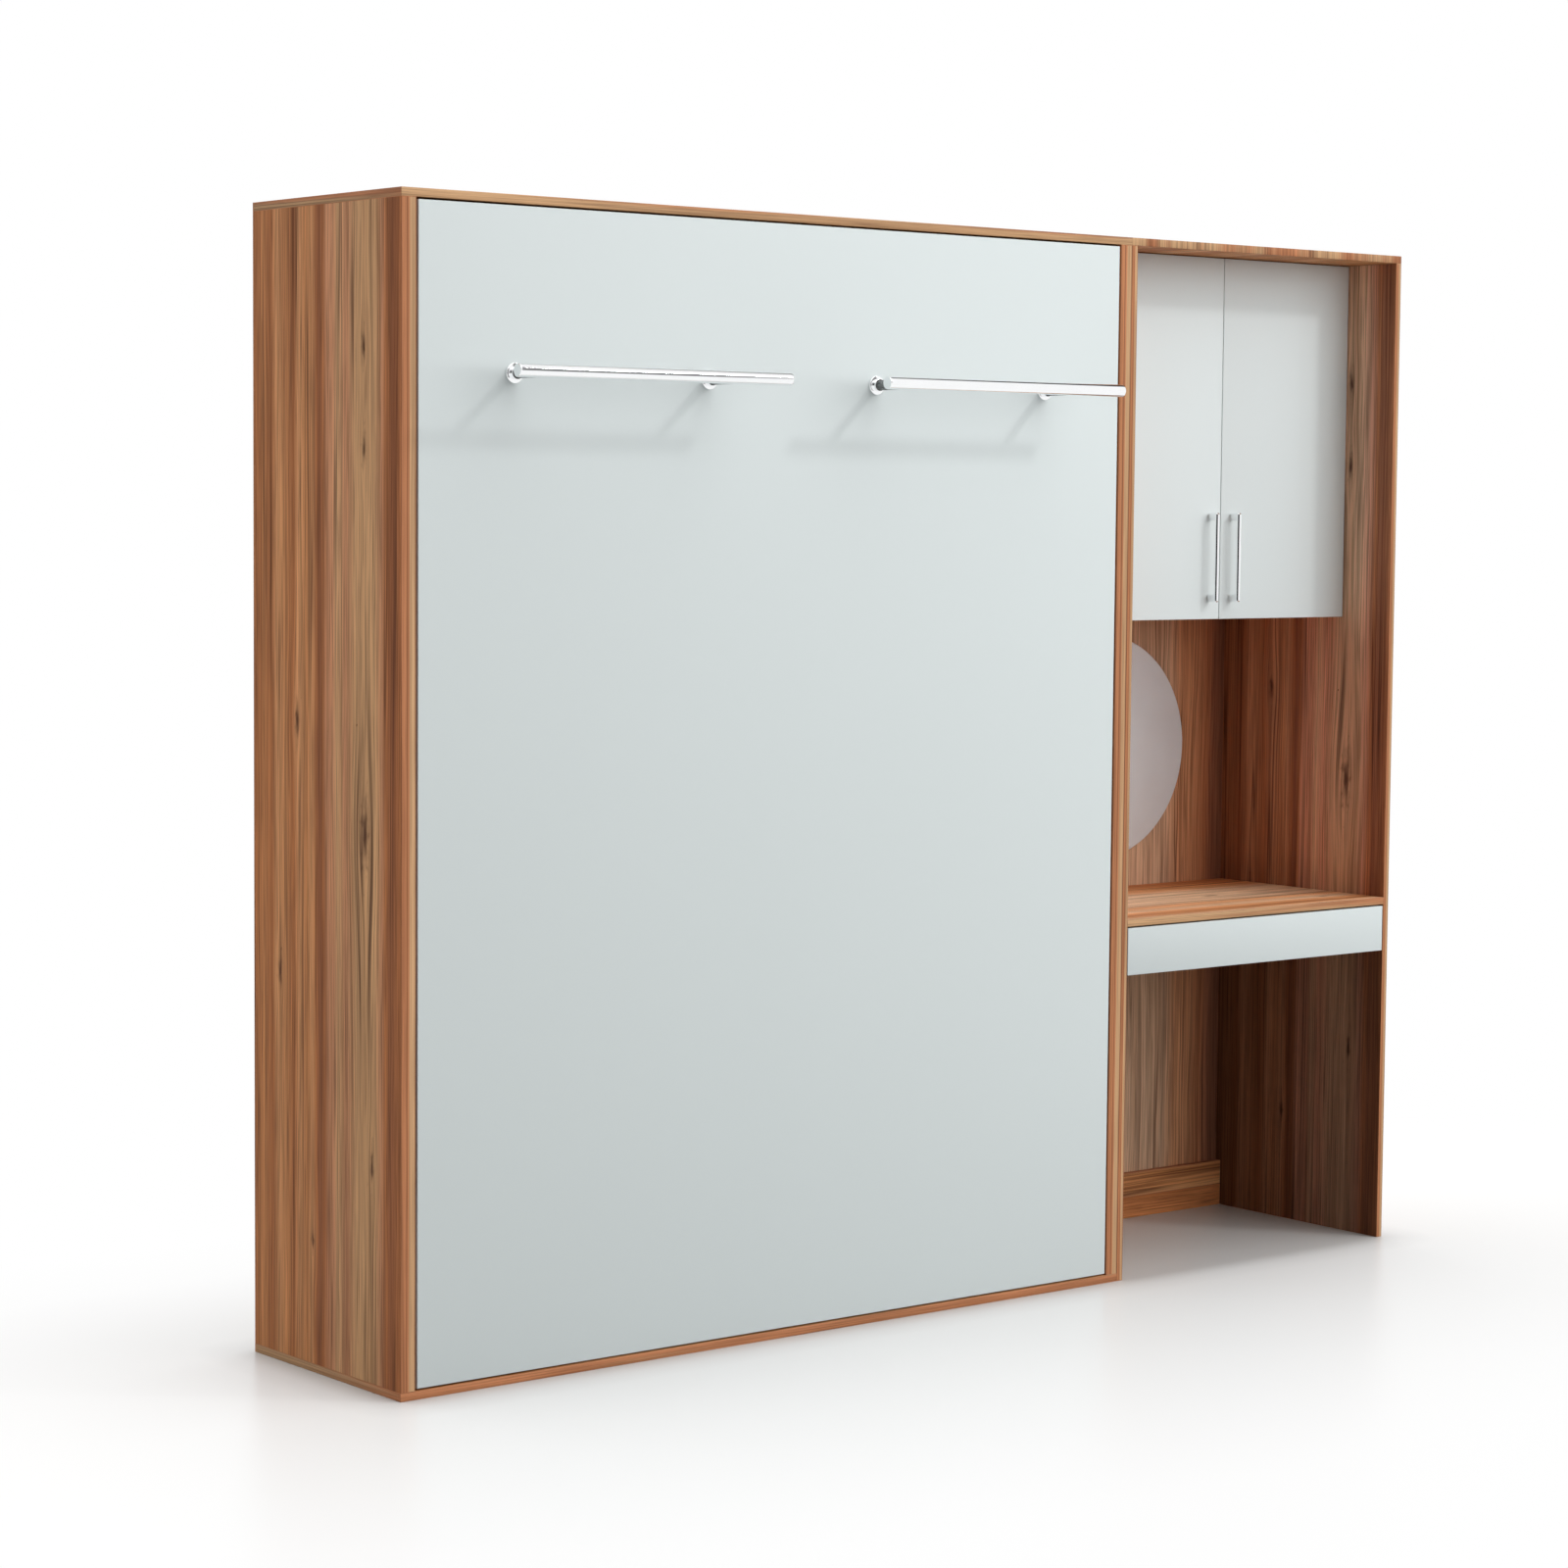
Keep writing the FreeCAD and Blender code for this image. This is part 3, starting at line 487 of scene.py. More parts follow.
def on_vectors(operation, *values):
    """The node of one sum on places or directions."""
    return use("VectorMath", dict(enumerate(values)), operation=operation)


def fade(value, start, end, low=0.0, high=1.0, **settings):
    """Low up to a start, high from an end on, and even between them."""
    return use("MapRange", {0: value, 1: start, 2: end, 3: low, 4: high}, **settings).outputs[0]


def split(place):
    """The three parts of a place or a direction."""
    return use("SeparateXYZ", {0: place}).outputs


def blend(share, first, second, way="MIX"):
    """Two colours mixed."""
    ends = [value if isinstance(value, bpy.types.NodeSocket) else (*value, 1) for value in (first, second)]
    return use("Mix", {0: share, 6: ends[0], 7: ends[1]}, data_type="RGBA", blend_type=way).outputs[2]


def tinted(face, tint, share=1.0):
    """A colour multiplied by another."""
    return blend(share, face, tint, "MULTIPLY")


def shade(tint, share):
    """A colour made darker or lighter."""
    return tuple(value * share for value in tint)


def ramp(share, stops):
    """Colours or numbers along a share from 0 to 1."""
    made = use("ValToRGB", {0: share})
    elements = made.color_ramp.elements
    while len(elements) < len(stops):
        elements.new(1)
    for element, (place, value) in zip(elements, stops):
        element.position = place
        element.color = (*value, 1) if hasattr(value, "__len__") else (value, value, value, 1)
    return made.outputs[0]


def noise(place, detail=2.0, roughness=0.5, scale=1.0):
    """Soft random values, as many to a metre as the scale says."""
    inputs = {"Vector": place, "Scale": scale, "Detail": detail, "Roughness": roughness}
    return use("TexNoise", inputs).outputs[0]


def stretched(parts, scales):
    """A place whose parts are scaled apart, each to so many cycles of a noise in a metre."""
    scaled = [times(part, scale) for part, scale in zip(parts, scales)]
    return use("CombineXYZ", dict(enumerate(scaled))).outputs[0]


def new_material(name):
    """An empty material with its shader, and the place of each point on the object."""
    material = bpy.data.materials.new(name)
    material.use_nodes = True
    tree = material.node_tree
    shader = tree.nodes["Principled BSDF"]
    place = add(tree, "TexCoord").outputs["Object"]
    return material, shader, place


def raise_grain(shader, height, distance, amount=1.0):
    """Relief from a height value."""
    inputs = {"Strength": amount, "Distance": distance, "Height": height}
    plug(shader, {"Normal": use("Bump", inputs).outputs[0]})


def recolour(material, repaint):
    """Put a new colour in place of a material's own, worked out from it."""
    shader = material.node_tree.nodes["Principled BSDF"]
    place = add(material.node_tree, "TexCoord").outputs["Object"]
    plug(shader, {"Base Color": repaint(place, shader.inputs["Base Color"].links[0].from_socket)})


# Wood


def knot(across, run, spot, size):
    """How far the grain opens round a knot, and how dark its eye is."""
    aside = reckon("DIVIDE", reckon("SUBTRACT", across, spot[0]), size[0])
    along = reckon("DIVIDE", reckon("SUBTRACT", run, spot[1]), size[1])
    far = reckon("ADD", times(aside, aside), times(along, along))
    swell = reckon("POWER", 0.5, far)
    push = times(times(aside, size[0] * -0.8), swell)
    torn = noise(stretched((across, run), (110, 45)), 2)
    eye = reckon("POWER", 0.5, times(far, rescale(torn, 50.0, -10.0)))
    return push, eye


def by_grain(grain):
    """Axis numbers across, through and along a grain, told as the letters along and across."""
    along, across = AXES.index(grain[0]), AXES.index(grain[1])
    return across, 3 - along - across, along


def grain_lines(parts, pitch, width, gate):
    """Thin lines where a noise crosses its middle, as dark as a broader noise lets them be."""
    value = noise(stretched(parts, (pitch[0], pitch[0], pitch[1])), 1)
    off = reckon("ABSOLUTE", reckon("SUBTRACT", value, 0.5))
    line = fade(off, 0.0, width, 1.0, 0.0)
    share = noise(stretched(parts, (gate[0], gate[0], gate[1])), 2)
    return times(line, ramp(share, [(0.38, 0.1), (0.62, 1.0)]))


def walnut(name, grain, planks, stretch=None, knots=(), wander=0.012, depth=1.0, light_cast=None, foot=None):
    """Laminate with a straight walnut grain, told as the letters of the axes along and across it.

    The planks are shares of the way across, with their colours. Over a stretch, a start and an
    end in metres, they lie in that order. Without one they come as chance has it. A light cast
    tints the whole leaf as painted light, and a foot, a height and a share, paints shade that
    makes it darker below that height.
    """
    material, shader, place = new_material(name)
    axes = split(place)
    across, through, run = [axes[index] for index in by_grain(grain)]
    parts = (across, through, run)
    drift = rescale(noise(stretched(parts, (2.5, 2.5, 1.1)), 2), wander * 2, -wander)
    drift = rescale(noise(stretched(parts, (14, 14, 5)), 2), wander * 0.5, drift)
    eyes = 0.0
    for spot, size in knots:
        push, eye = knot(across, run, spot, size)
        drift = reckon("ADD", drift, push)
        eyes = reckon("MAXIMUM", eyes, eye)
    wandering = reckon("ADD", across, drift)
    parts = (wandering, through, run)

    # Planks, and lengthwise changes of tone within them
    cloud = noise(stretched(parts, (34, 34, 0.8)), 3, 0.6)
    if stretch:
        share = rescale(cloud, 0.04, reckon("SUBTRACT", fade(wandering, *stretch), 0.02))
    else:
        chance = noise(stretched(parts, (13, 13, 0.25)), 3, 0.6)
        share = ramp(chance, [(0.25, 0.0), (0.75, 1.0)])
    changes = [(0.3, (0.80, 0.74, 0.70)), (0.5, (0.98, 0.97, 0.96)), (0.72, (1.12, 1.12, 1.12))]
    face = tinted(ramp(share, planks), ramp(cloud, changes), depth)

    # Thin dark lines that come and go, pores and fibres
    hair = noise(stretched(parts, (330, 330, 4.0)), 3, 0.65)
    fibre = noise(stretched(parts, (620, 620, 7)), 2, 0.6)
    fibre = ramp(fibre, [(0.25, 0.86), (0.6, 1.04)])
    strong = grain_lines(parts, (62, 0.5), 0.06, (26, 1.3))
    fine = grain_lines(parts, (150, 1.2), 0.11, (70, 3.5))
    hair = ramp(hair, [(0.38, 1.0), (0.48, 0.35), (0.58, 0.0)])
    kinds = ((strong, 0.85), (fine, 0.65), (hair, 0.5))
    lines = largest(*(times(kind, weight) for kind, weight in kinds))
    dark = tones("line")[0]
    face = blend(times(lines, depth), face, dark)
    face = tinted(face, fibre)
    if knots:
        face = blend(times(eyes, 0.9), face, dark)
    # Painted shade: darker below the foot's height, near the floor and in the knee space
    if foot:
        height, share = foot
        face = tinted(face, fade(run, height - 0.2, height, share, 1.0))
    # Painted light: the cast tints the leaf for the light that falls on it
    if light_cast:
        face = tinted(face, light_cast)
    gloss = rescale(fibre, -0.2, 0.72)
    plug(shader, {"Base Color": face, "Roughness": gloss, "Specular IOR Level": 0.1})
    raise_grain(shader, reckon("SUBTRACT", fibre, lines), 0.00006)
    return material


def rear_sheet(name):
    """Walnut laminate inside, with painted shade in the niche's right corner, and raw hardboard towards the
    wall.
    """
    umber, chestnut, middle_tone, olive, board = tones("umber", "chestnut", "walnut", "olive", "hardboard")
    # The last planks darken towards the niche's right corner, partly a dark plank and partly painted shade;
    # the cast is painted light
    planks = [
        (0.0, middle_tone), (0.3, olive), (0.6, olive), (0.7, middle_tone),
        (0.8, middle_tone), (0.88, chestnut), (0.94, umber), (1.0, shade(umber, 0.6)),
    ]
    material = walnut(name, "ZX", planks, (0.85, 1.3), wander=0.02, light_cast=(0.93, 1.05, 1.4))

    def raw_behind(place, inner):
        raw = blend(noise(place, 5, 0.7, 180.0), shade(board, 0.7), board)
        facing = split(add(place.id_data, "NewGeometry").outputs["Normal"])[1]
        return blend(reckon("GREATER_THAN", facing, 0.5), inner, raw)

    recolour(material, raw_behind)
    return material


def birch_wood(name, tint, grain, plies=False):
    """Pale bent or laid birch, with its plies on the top edges where asked."""
    material, shader, place = new_material(name)
    axes = split(place)
    parts = [axes[index] for index in by_grain(grain)]
    broad = noise(stretched(parts, (30, 30, 1.2)), 3, 0.55)
    fine = noise(stretched(parts, (420, 420, 6)), 2, 0.6)
    face = blend(broad, shade(tint, 0.8), tint)
    face = tinted(face, ramp(fine, [(0.3, 0.86), (0.6, 1.03)]))
    if plies:
        normal = add(place.id_data, "NewGeometry").outputs["Normal"]
        upward = reckon("GREATER_THAN", split(normal)[2], 0.7)
        layer = reckon("FRACT", times(reckon("ADD", axes[0], axes[1]), 330.0))
        steps = [(0.0, 0.62), (0.12, 0.62), (0.16, 1.0), (0.5, 1.0), (0.55, 0.82), (1.0, 0.82)]
        face = blend(upward, face, tinted(face, ramp(layer, steps)))
    plug(shader, {"Base Color": face, "Roughness": rescale(fine, 0.15, 0.42)})
    raise_grain(shader, fine, 0.00005)
    return material


# Lacquer, metal, plastic and cloth


def lacquer(name, tint, roughness=0.42):
    """Satin lacquer with a faint orange peel."""
    material, shader, place = new_material(name)
    face = blend(noise(place, 2, 0.5, 1.3), shade(tint, 0.985), tint)
    gloss = rescale(noise(place, 3, 0.6, 35.0), 0.06, roughness - 0.03)
    plug(shader, {"Base Color": face, "Roughness": gloss, "Specular IOR Level": 0.4})
    raise_grain(shader, noise(place, 2, 0.5, 420.0), 0.00002, 0.6)
    return material


def metal(name, tint, roughness, brushed=(1.0, 1.0, 1.0), relief=0.00001):
    """Plated or brushed metal, with fine scratches along the axis that is scaled least."""
    material, shader, place = new_material(name)
    scratch = noise(stretched(split(place), [900 * value for value in brushed]), 3, 0.6)
    smudge = noise(place, 3, 0.5, 14.0)
    face = blend(smudge, shade(tint, 0.94), tint)
    gloss = rescale(scratch, roughness * 0.6, roughness * 0.55)
    gloss = rescale(smudge, roughness * 0.3, gloss)
    plug(shader, {"Base Color": face, "Roughness": gloss, "Metallic": 1.0})
    raise_grain(shader, scratch, relief, 0.5)
    return material


def moulded(name, tint, roughness, grain=600.0, relief=0.00008, specular=0.4):
    """Moulded plastic, rubber or powder coat, with a fine grain."""
    material, shader, place = new_material(name)
    texture = noise(place, 3, 0.6, grain)
    face = blend(noise(place, 3, 0.5, 9.0), shade(tint, 0.8), shade(tint, 1.25))
    gloss = rescale(texture, 0.14, roughness - 0.07)
    plug(shader, {"Base Color": face, "Roughness": gloss, "Specular IOR Level": specular})
    raise_grain(shader, texture, relief, 0.8)
    return material


def cloth(name, tint, pitch, relief, roughness=0.85, sheen=0.25):
    """Knitted or woven cloth whose threads cross on the three axes."""
    material, shader, place = new_material(name)
    waves = [reckon("SINE", times(part, math.tau / pitch)) for part in split(place)]
    first = times(waves[0], waves[2])
    second = times(waves[1], reckon("ADD", waves[0], waves[2]))
    weave = rescale(reckon("ADD", first, times(second, 0.6)), 0.25, 0.5)
    fuzz = noise(place, 3, 0.6, 700.0)
    cloud = ramp(noise(place, 2, 0.5, 6.0), [(0.3, 0.96), (0.7, 1.0)])
    face = tinted(blend(weave, shade(tint, 0.88), tint), cloud)
    gloss = rescale(fuzz, 0.1, roughness - 0.05)
    plug(shader, {"Base Color": face, "Roughness": gloss})
    plug(shader, {"Sheen Weight": sheen, "Sheen Roughness": 0.5})
    raise_grain(shader, reckon("ADD", weave, times(fuzz, 0.4)), relief)
    return material


finishes = {}


def upright_leaves():
    """The two leaves of the upright boards, from the wall to the front, the inner one with painted shade,
    and the knots that they share.
    """
    umber, chestnut, middle_tone = tones("umber", "chestnut", "walnut")
    tan, rose, olive = tones("tan", "rose", "olive")
    outer = [
        (0.0, chestnut), (0.06, middle_tone), (0.12, chestnut), (0.16, tan), (0.23, middle_tone),
        (0.27, chestnut), (0.31, tan), (0.36, middle_tone), (0.40, tan), (0.43, chestnut), (0.445, umber),
        (0.46, umber), (0.475, chestnut), (0.5, rose), (0.55, rose), (0.58, olive), (0.63, rose),
        (0.7, olive), (0.82, olive), (0.87, rose), (0.9, chestnut), (0.93, umber), (1.0, chestnut),
    ]
    # Painted shade: the inner leaf is the outer one, darker towards the wall and lighter towards the front
    # of the niche
    recess_shading = [(0.15, 0.6), (0.3, 0.8), (0.48, 0.95), (0.9, 1.28), (1.0, 1.1)]
    inner = []
    for place, tone in outer:
        inner.append((place, shade(tone, next(share for reach, share in recess_shading if place <= reach))))
    knots = (
        ((-0.056, 1.922), (0.016, 0.07)),
        ((-0.058, 1.735), (0.016, 0.07)),
        ((-0.061, 1.03), (0.030, 0.15)),
        ((0.175, 1.23), (0.018, 0.08)),
        ((0.237, 0.75), (0.016, 0.07)),
        ((-0.085, 0.42), (0.014, 0.08)),
        ((0.12, 0.25), (0.012, 0.06)),
    )
    return outer, inner, knots


def make_boards_finishes():
    """Walnut of the boards' faces and of their edge bands."""
    umber, chestnut, middle_tone = tones("umber", "chestnut", "walnut")
    tan, olive, blond = tones("tan", "olive", "blond")
    dark, orange, pale = tones("band_dark", "band_mid", "band_pale")
    reach = (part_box("bed_side_left")[1].y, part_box("bed_side_left")[0].y)
    outer, inner, knots = upright_leaves()
    # Painted shade: both leaves darken below 0.85 m, the table's far more in the knee space; the table's
    # cast is painted light for the niche
    for key, leaf, light_cast, foot in (
        ("upright", outer, None, (0.85, 0.9)),
        ("table upright", inner, (0.93, 1.06, 1.45), (0.85, 0.62)),
    ):
        finishes[key] = walnut("Walnut " + key, "ZY", leaf, reach, knots, 0.006, light_cast=light_cast, foot=foot)
    # The desk's leaf darkens towards the back, partly its own planks and partly painted shade under the
    # cupboard; its cast paints the whole desk lighter, as painted light
    leaf = [
        (0.0, chestnut), (0.14, middle_tone), (0.24, tan), (0.34, blond), (0.44, blond), (0.55, blond),
        (0.64, blond), (0.72, tan), (0.8, blond), (0.86, tan), (0.92, middle_tone), (1.0, blond),
    ]
    knots = (((0.061, 0.995), (0.022, 0.06)), ((-0.09, 1.2), (0.012, 0.05)))
    desk = (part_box("desk_board")[1].y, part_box("desk_board")[0].y)
    finishes["desk"] = walnut("Walnut desk", "XY", leaf, desk, knots, light_cast=(1.12, 1.12, 1.14))
    planks = [
        (0.0, umber), (0.2, chestnut), (0.42, middle_tone), (0.62, tan), (0.82, olive), (1.0, middle_tone),
    ]
    for grain in ("XY", "XZ", "YX", "ZX"):
        finishes["face " + grain] = walnut("Walnut face " + grain, grain, planks)

    # Edge bands
    stripes = [
        (0.0, dark), (0.18, orange), (0.45, orange), (0.55, pale), (0.8, pale), (0.88, dark), (1.0, orange),
    ]
    for grain in ("XY", "XZ", "YX", "YZ", "ZX", "ZY"):
        finishes["band " + grain] = walnut("Walnut band " + grain, grain, stripes, wander=0.003, depth=0.7)
    stripes = [(0.0, dark), (0.3, orange), (0.6, pale), (1.0, pale)]
    finishes["end"] = walnut("Walnut end", "ZX", stripes, depth=0.9)
    stripes = [
        (0.0, dark), (0.07, orange), (0.36, orange), (0.42, dark), (0.47, orange), (0.54, orange),
        (0.6, pale), (0.9, pale), (1.0, dark),
    ]
    for node in ("bed_side_left", "bed_side_right", "table_side_left", "table_side_right"):
        low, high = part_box(node)
        name = "Walnut edge of " + node
        finishes["edge " + node] = walnut(name, "ZX", stripes, (low.x, high.x), wander=0.0015, depth=0.5)
    for node in ("bed_back", "table_back"):
        finishes["sheet " + node] = rear_sheet("Rear sheet of " + node)


def make_other_finishes():
    """Lacquer, metal, plastic, birch and cloth."""
    for key, name, make, tone, *settings in (
        ("lacquer", "Satin lacquer", lacquer, "lacquer"),
        # Painted light: the front's lacquer, made lighter for the doors' recess
        ("door", "Door lacquer", lacquer, "door"),
        ("chrome", "Chrome plate", metal, "chrome", 0.045, (1.0, 1.0, 1.0), 0.0),
        ("zinc", "Zinc plate", metal, "zinc", 0.34, (1.0, 0.1, 1.0), 0.00003),
        ("bright", "Nickel plate", metal, "zinc", 0.2),
        ("bronze", "Sintered bronze", metal, "bronze", 0.38, (1.0, 1.0, 1.0), 0.00004),
        ("mirror", "Mirror silver", metal, "silver", 0.72, (1.0, 1.0, 1.0), 0.0),
        ("frame", "Powder coat", moulded, "frame_paint", 0.5),
        ("strut", "Strut enamel", moulded, "strut", 0.28, 240.0, 0.00002),
        ("plastic", "Black plastic", moulded, "plastic", 0.5),
        ("rubber", "Black rubber", moulded, "rubber", 0.75, 500.0, 0.0001, 0.25),
        ("backing", "Mirror board", moulded, "backing", 0.7, 300.0),
        ("birch X", "Birch slat", birch_wood, "birch", "XZ"),
        ("birch Y", "Birch ply", birch_wood, "birch", "YX", True),
        ("beech", "Beech dowel", birch_wood, "beech", "YX"),
        ("ticking", "Mattress ticking", cloth, "ticking", 0.0022, 0.0003),
        ("border", "Mattress border", cloth, "border", 0.004, 0.0005),
        ("piping", "Mattress piping", cloth, "piping", 0.0016, 0.0003),
        ("webbing", "Strap webbing", cloth, "webbing", 0.0028, 0.0004, 0.7, 0.1),
    ):
        finishes[key] = make(name, tones(tone)[0], *settings)


class WALLBED_OT_stage(bpy.types.Operator):
    """Floor, lamps, sky and camera"""

    bl_idname = "wallbed.stage"
    bl_label = "Stage"

    def execute(self, context):
        studio = context.scene.wall_bed_studio
        self.make_floor(tuple(studio.floor), tuple(studio.floor_bounce))
        self.make_sky(context, studio.dome, studio.window)
        bars = (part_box("bar_tube_left")[0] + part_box("bar_tube_right")[1]) / 2
        for name in ("top", "key"):
            way = Vector(getattr(studio, name + "_toward")).normalized()
            deselect_all()
            bpy.ops.object.light_add(type="AREA", location=bars + way * studio.lamp_distance)
            lamp = context.object
            lamp.name = name + "_lamp"
            lamp.rotation_euler = way.to_track_quat("Z", "Y").to_euler()
            lamp.data.energy = getattr(studio, name + "_power")
            lamp.data.size = getattr(studio, name + "_size")
        deselect_all()
        bpy.ops.object.camera_add(location=studio.camera_place, rotation=studio.camera_turn)
        camera = context.object
        camera.data.sensor_width = 36
        camera.data.lens = studio.lens
        camera.data.clip_end = 100
        context.scene.camera = camera
        context.scene.view_settings.view_transform = "Standard"
        return {"FINISHED"}

    @staticmethod
    def seen(tree):
        """1 for rays that show the background, in the camera, in gloss or through glass."""
        path = add(tree, "LightPath").outputs
        kinds = ("Is Camera Ray", "Is Glossy Ray", "Is Transmission Ray")
        return largest(*(path[kind] for kind in kinds))

    def make_floor(self, tint, bounce):
        """A pale floor that keeps the shadow, with painted shade close to the cabinets, and fades to white
        around the bed.
        """
        deselect_all()
        bpy.ops.mesh.primitive_grid_add(x_subdivisions=8, y_subdivisions=8, size=60)
        floor = settle("floor")
        finishes["floor"], shader, place = new_material("Studio floor")
        tree = shader.id_data
        bed = (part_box("bed_side_left")[0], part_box("bed_side_right")[1])
        table = (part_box("table_side_left")[0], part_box("table_side_right")[1])
        gap = reckon("MINIMUM", *(self.outside(place, *box) for box in (bed, table)))
        # Painted shade: the floor darkens within about 12 cm of the cabinets
        painted_contact_shade = ramp(reckon("DIVIDE", gap, 0.3), [(0.0, 0.8), (0.4, 1.0)])
        face = tinted(blend(self.seen(tree), bounce, tint), painted_contact_shade)
        plug(shader, {"Base Color": face, "Roughness": 0.3, "Specular IOR Level": 0.4})

        # It turns white sooner behind the table than in front of it
        behind = reckon("SUBTRACT", split(place)[1], table[1].y)
        gap = reckon("ADD", gap, reckon("MAXIMUM", behind, 0.0))
        stops = [(0.0, 0.0), (0.03, 0.22), (0.3, 0.5), (0.65, 0.9), (1.0, 1.0)]
        far = times(ramp(reckon("DIVIDE", gap, 2.0), stops), self.seen(tree))
        white = add(tree, "Emission", {"Color": (1, 1, 1, 1), "Strength": 1.0}).outputs[0]
        mixed = use("MixShader", {0: far, 1: shader.outputs[0], 2: white}).outputs[0]
        plug(tree.nodes["Material Output"], {"Surface": mixed})
        paint(floor, "floor")

    @staticmethod
    def outside(place, low, high):
        """How far a point of the floor lies outside a box."""
        centre = ((low.x + high.x) / 2, (low.y + high.y) / 2, 0)
        half = ((high.x - low.x) / 2, (high.y - low.y) / 2, 0)
        off = on_vectors("SUBTRACT", place, centre).outputs[0]
        off = on_vectors("ABSOLUTE", off).outputs[0]
        off = on_vectors("SUBTRACT", off, half).outputs[0]
        off = on_vectors("MAXIMUM", off, (0, 0, 0)).outputs[0]
        return on_vectors("LENGTH", off).outputs[1]

    @staticmethod
    def patch(turn, rise, aside, span):
        """1 inside a soft patch of the sky, told by its middle and half width, its foot and head."""
        off = reckon("ABSOLUTE", reckon("SUBTRACT", turn, aside[0]))
        within = fade(off, aside[1] * 1.3, aside[1] * 0.7)
        soft = (span[1] - span[0]) * 0.2
        above = fade(rise, span[0], span[0] + soft)
        below = fade(rise, span[1], span[1] - soft)
        return times(within, times(above, below))

    @staticmethod
    def away(way, turn, rise):
        """Angle between a point of the sky and a direction, told by its turn and its rise."""
        flat = math.cos(rise)
        toward = (math.sin(turn) * flat, -math.cos(turn) * flat, math.sin(rise))
        return reckon("ARCCOSINE", on_vectors("DOT_PRODUCT", way, toward).outputs[1])

    def make_sky(self, context, dome, window):
        """White where it is seen, dark gaps in the gloss, and a light of its own shape."""
        world = bpy.data.worlds.new("Studio sky")
        world.use_nodes = True
        tree = world.node_tree
        background = tree.nodes["Background"]
        way = add(tree, "TexCoord").outputs["Generated"]
        parts = split(way)
        turn = reckon("ARCTAN2", parts[0], times(parts[1], -1.0))
        rise = reckon("ARCSINE", parts[2])

        # The first gap leans, and stands over the left pull bar alone
        lean = times(times(rise, rise), 0.41)
        stand = self.patch(reckon("SUBTRACT", turn, lean), rise, (0.615, 0.058), (-0.2, 0.82))
        side = self.patch(turn, rise, (1.95, 0.5), (0.3, 0.95))
        rear = self.patch(turn, rise, (-2.45, 0.5), (-0.2, 0.7))
        near = self.patch(turn, rise, (-0.72, 0.3), (-0.3, 0.62))
        gaps = largest(times(stand, 0.78), side, rear, near)
        gaps = times(gaps, add(tree, "LightPath").outputs["Is Glossy Ray"])
        plug(background, {"Color": blend(gaps, (1, 1, 1), hue(60, 60, 62))})

        # The light is dark towards the camera and strongest low at the front
        lobe = self.away(way, math.radians(-46), math.radians(29))
        edge = (math.radians(36), math.radians(54), 0.0, dome)
        light = fade(lobe, *edge, interpolation_type="SMOOTHSTEP")
        front = self.away(way, math.radians(11), 0.0)
        light = reckon("ADD", light, fade(front, 0.0, math.radians(56), window, 0.0))
        seen = self.seen(tree)
        unseen = reckon("SUBTRACT", 1.0, seen)
        plug(background, {"Strength": rescale(light, unseen, seen)})
        context.scene.world = world


class WALLBED_OT_boards(bpy.types.Operator):
    """Walnut boards of both cabinets, with banded edges"""

    bl_idname = "wallbed.boards"
    bl_label = "Boards"

    def execute(self, context):
        for node, face, front_band in (
            ("bed_side_left", "upright", "edge bed_side_left"),
            ("bed_side_right", "upright", "edge bed_side_right"),
            ("bed_top", "face XY", None),
            ("bed_bottom", "face XY", None),
            ("bed_low_rail", "face XZ", None),
            ("table_side_left", "table upright", "edge table_side_left"),
            ("table_side_right", "table upright", "edge table_side_right"),
            ("table_top", "face YX", "end"),
            ("desk_board", "desk", None),
            ("cupboard_floor", "face XY", None),
            ("cupboard_shelf", "face XY", None),
        ):
            piece = self.banded_board(node + "_board", *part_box(node), face, front_band)
            fit(piece, node)
        self.make_plinth()
        for node, finish in (
            ("bed_wall_rail", "face XZ"),
            ("table_wall_rail", "face XZ"),
            ("panel_stops", "face ZX"),
            ("dowels", "beech"),
            ("bed_back", "sheet bed_back"),
            ("table_back", "sheet table_back"),
        ):
            paint_node(node, finish)
        return {"FINISHED"}

    @staticmethod
    def banded_board(name, low, high, face, front_band=None):
        """A board with thin bands on its narrow sides, the grain of each along its own length."""
        band = sizes().band
        board = add_block(name, low, high)
        dims = high - low
        flat_axis = min(range(3), key=lambda axis: dims[axis])
        sides = [axis for axis in range(3) if axis != flat_axis]
        covers = []
        for axis in sides:
            cut_at(board, AXES[axis], low[axis] + band)
            cut_at(board, AXES[axis], high[axis] - band)
            lengthwise = "band " + AXES[sum(sides) - axis] + AXES[flat_axis]
            covers.append(front_band if front_band and AXES[axis] == "Y" else lengthwise)
        paint(board, face, *covers)
        with shaping(board):
            for number, axis in enumerate(sides):

                def on_band(side, axis=axis):
                    place = side.calc_center_median()[axis]
                    return place < low[axis] + band or place > high[axis] - band

                pick(board, "FACE", on_band)
                board.active_material_index = number + 1
                bpy.ops.object.material_slot_assign()
        round_edges(board, sizes().board_round)
        return board

    def make_plinth(self):
        """Two boards one over the other against the rear sheet, with an open seam."""
        low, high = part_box("plinth_boards")
        seam = low.z + sizes().plinth_seam
        lower = self.banded_board("plinth_lower", low, Vector((high.x, high.y, seam)), "desk")
        upper = self.banded_board("plinth_upper", Vector((low.x, low.y, seam)), high, "face XZ")
        fit(join([lower, upper], "plinth_board_pair"), "plinth_boards")


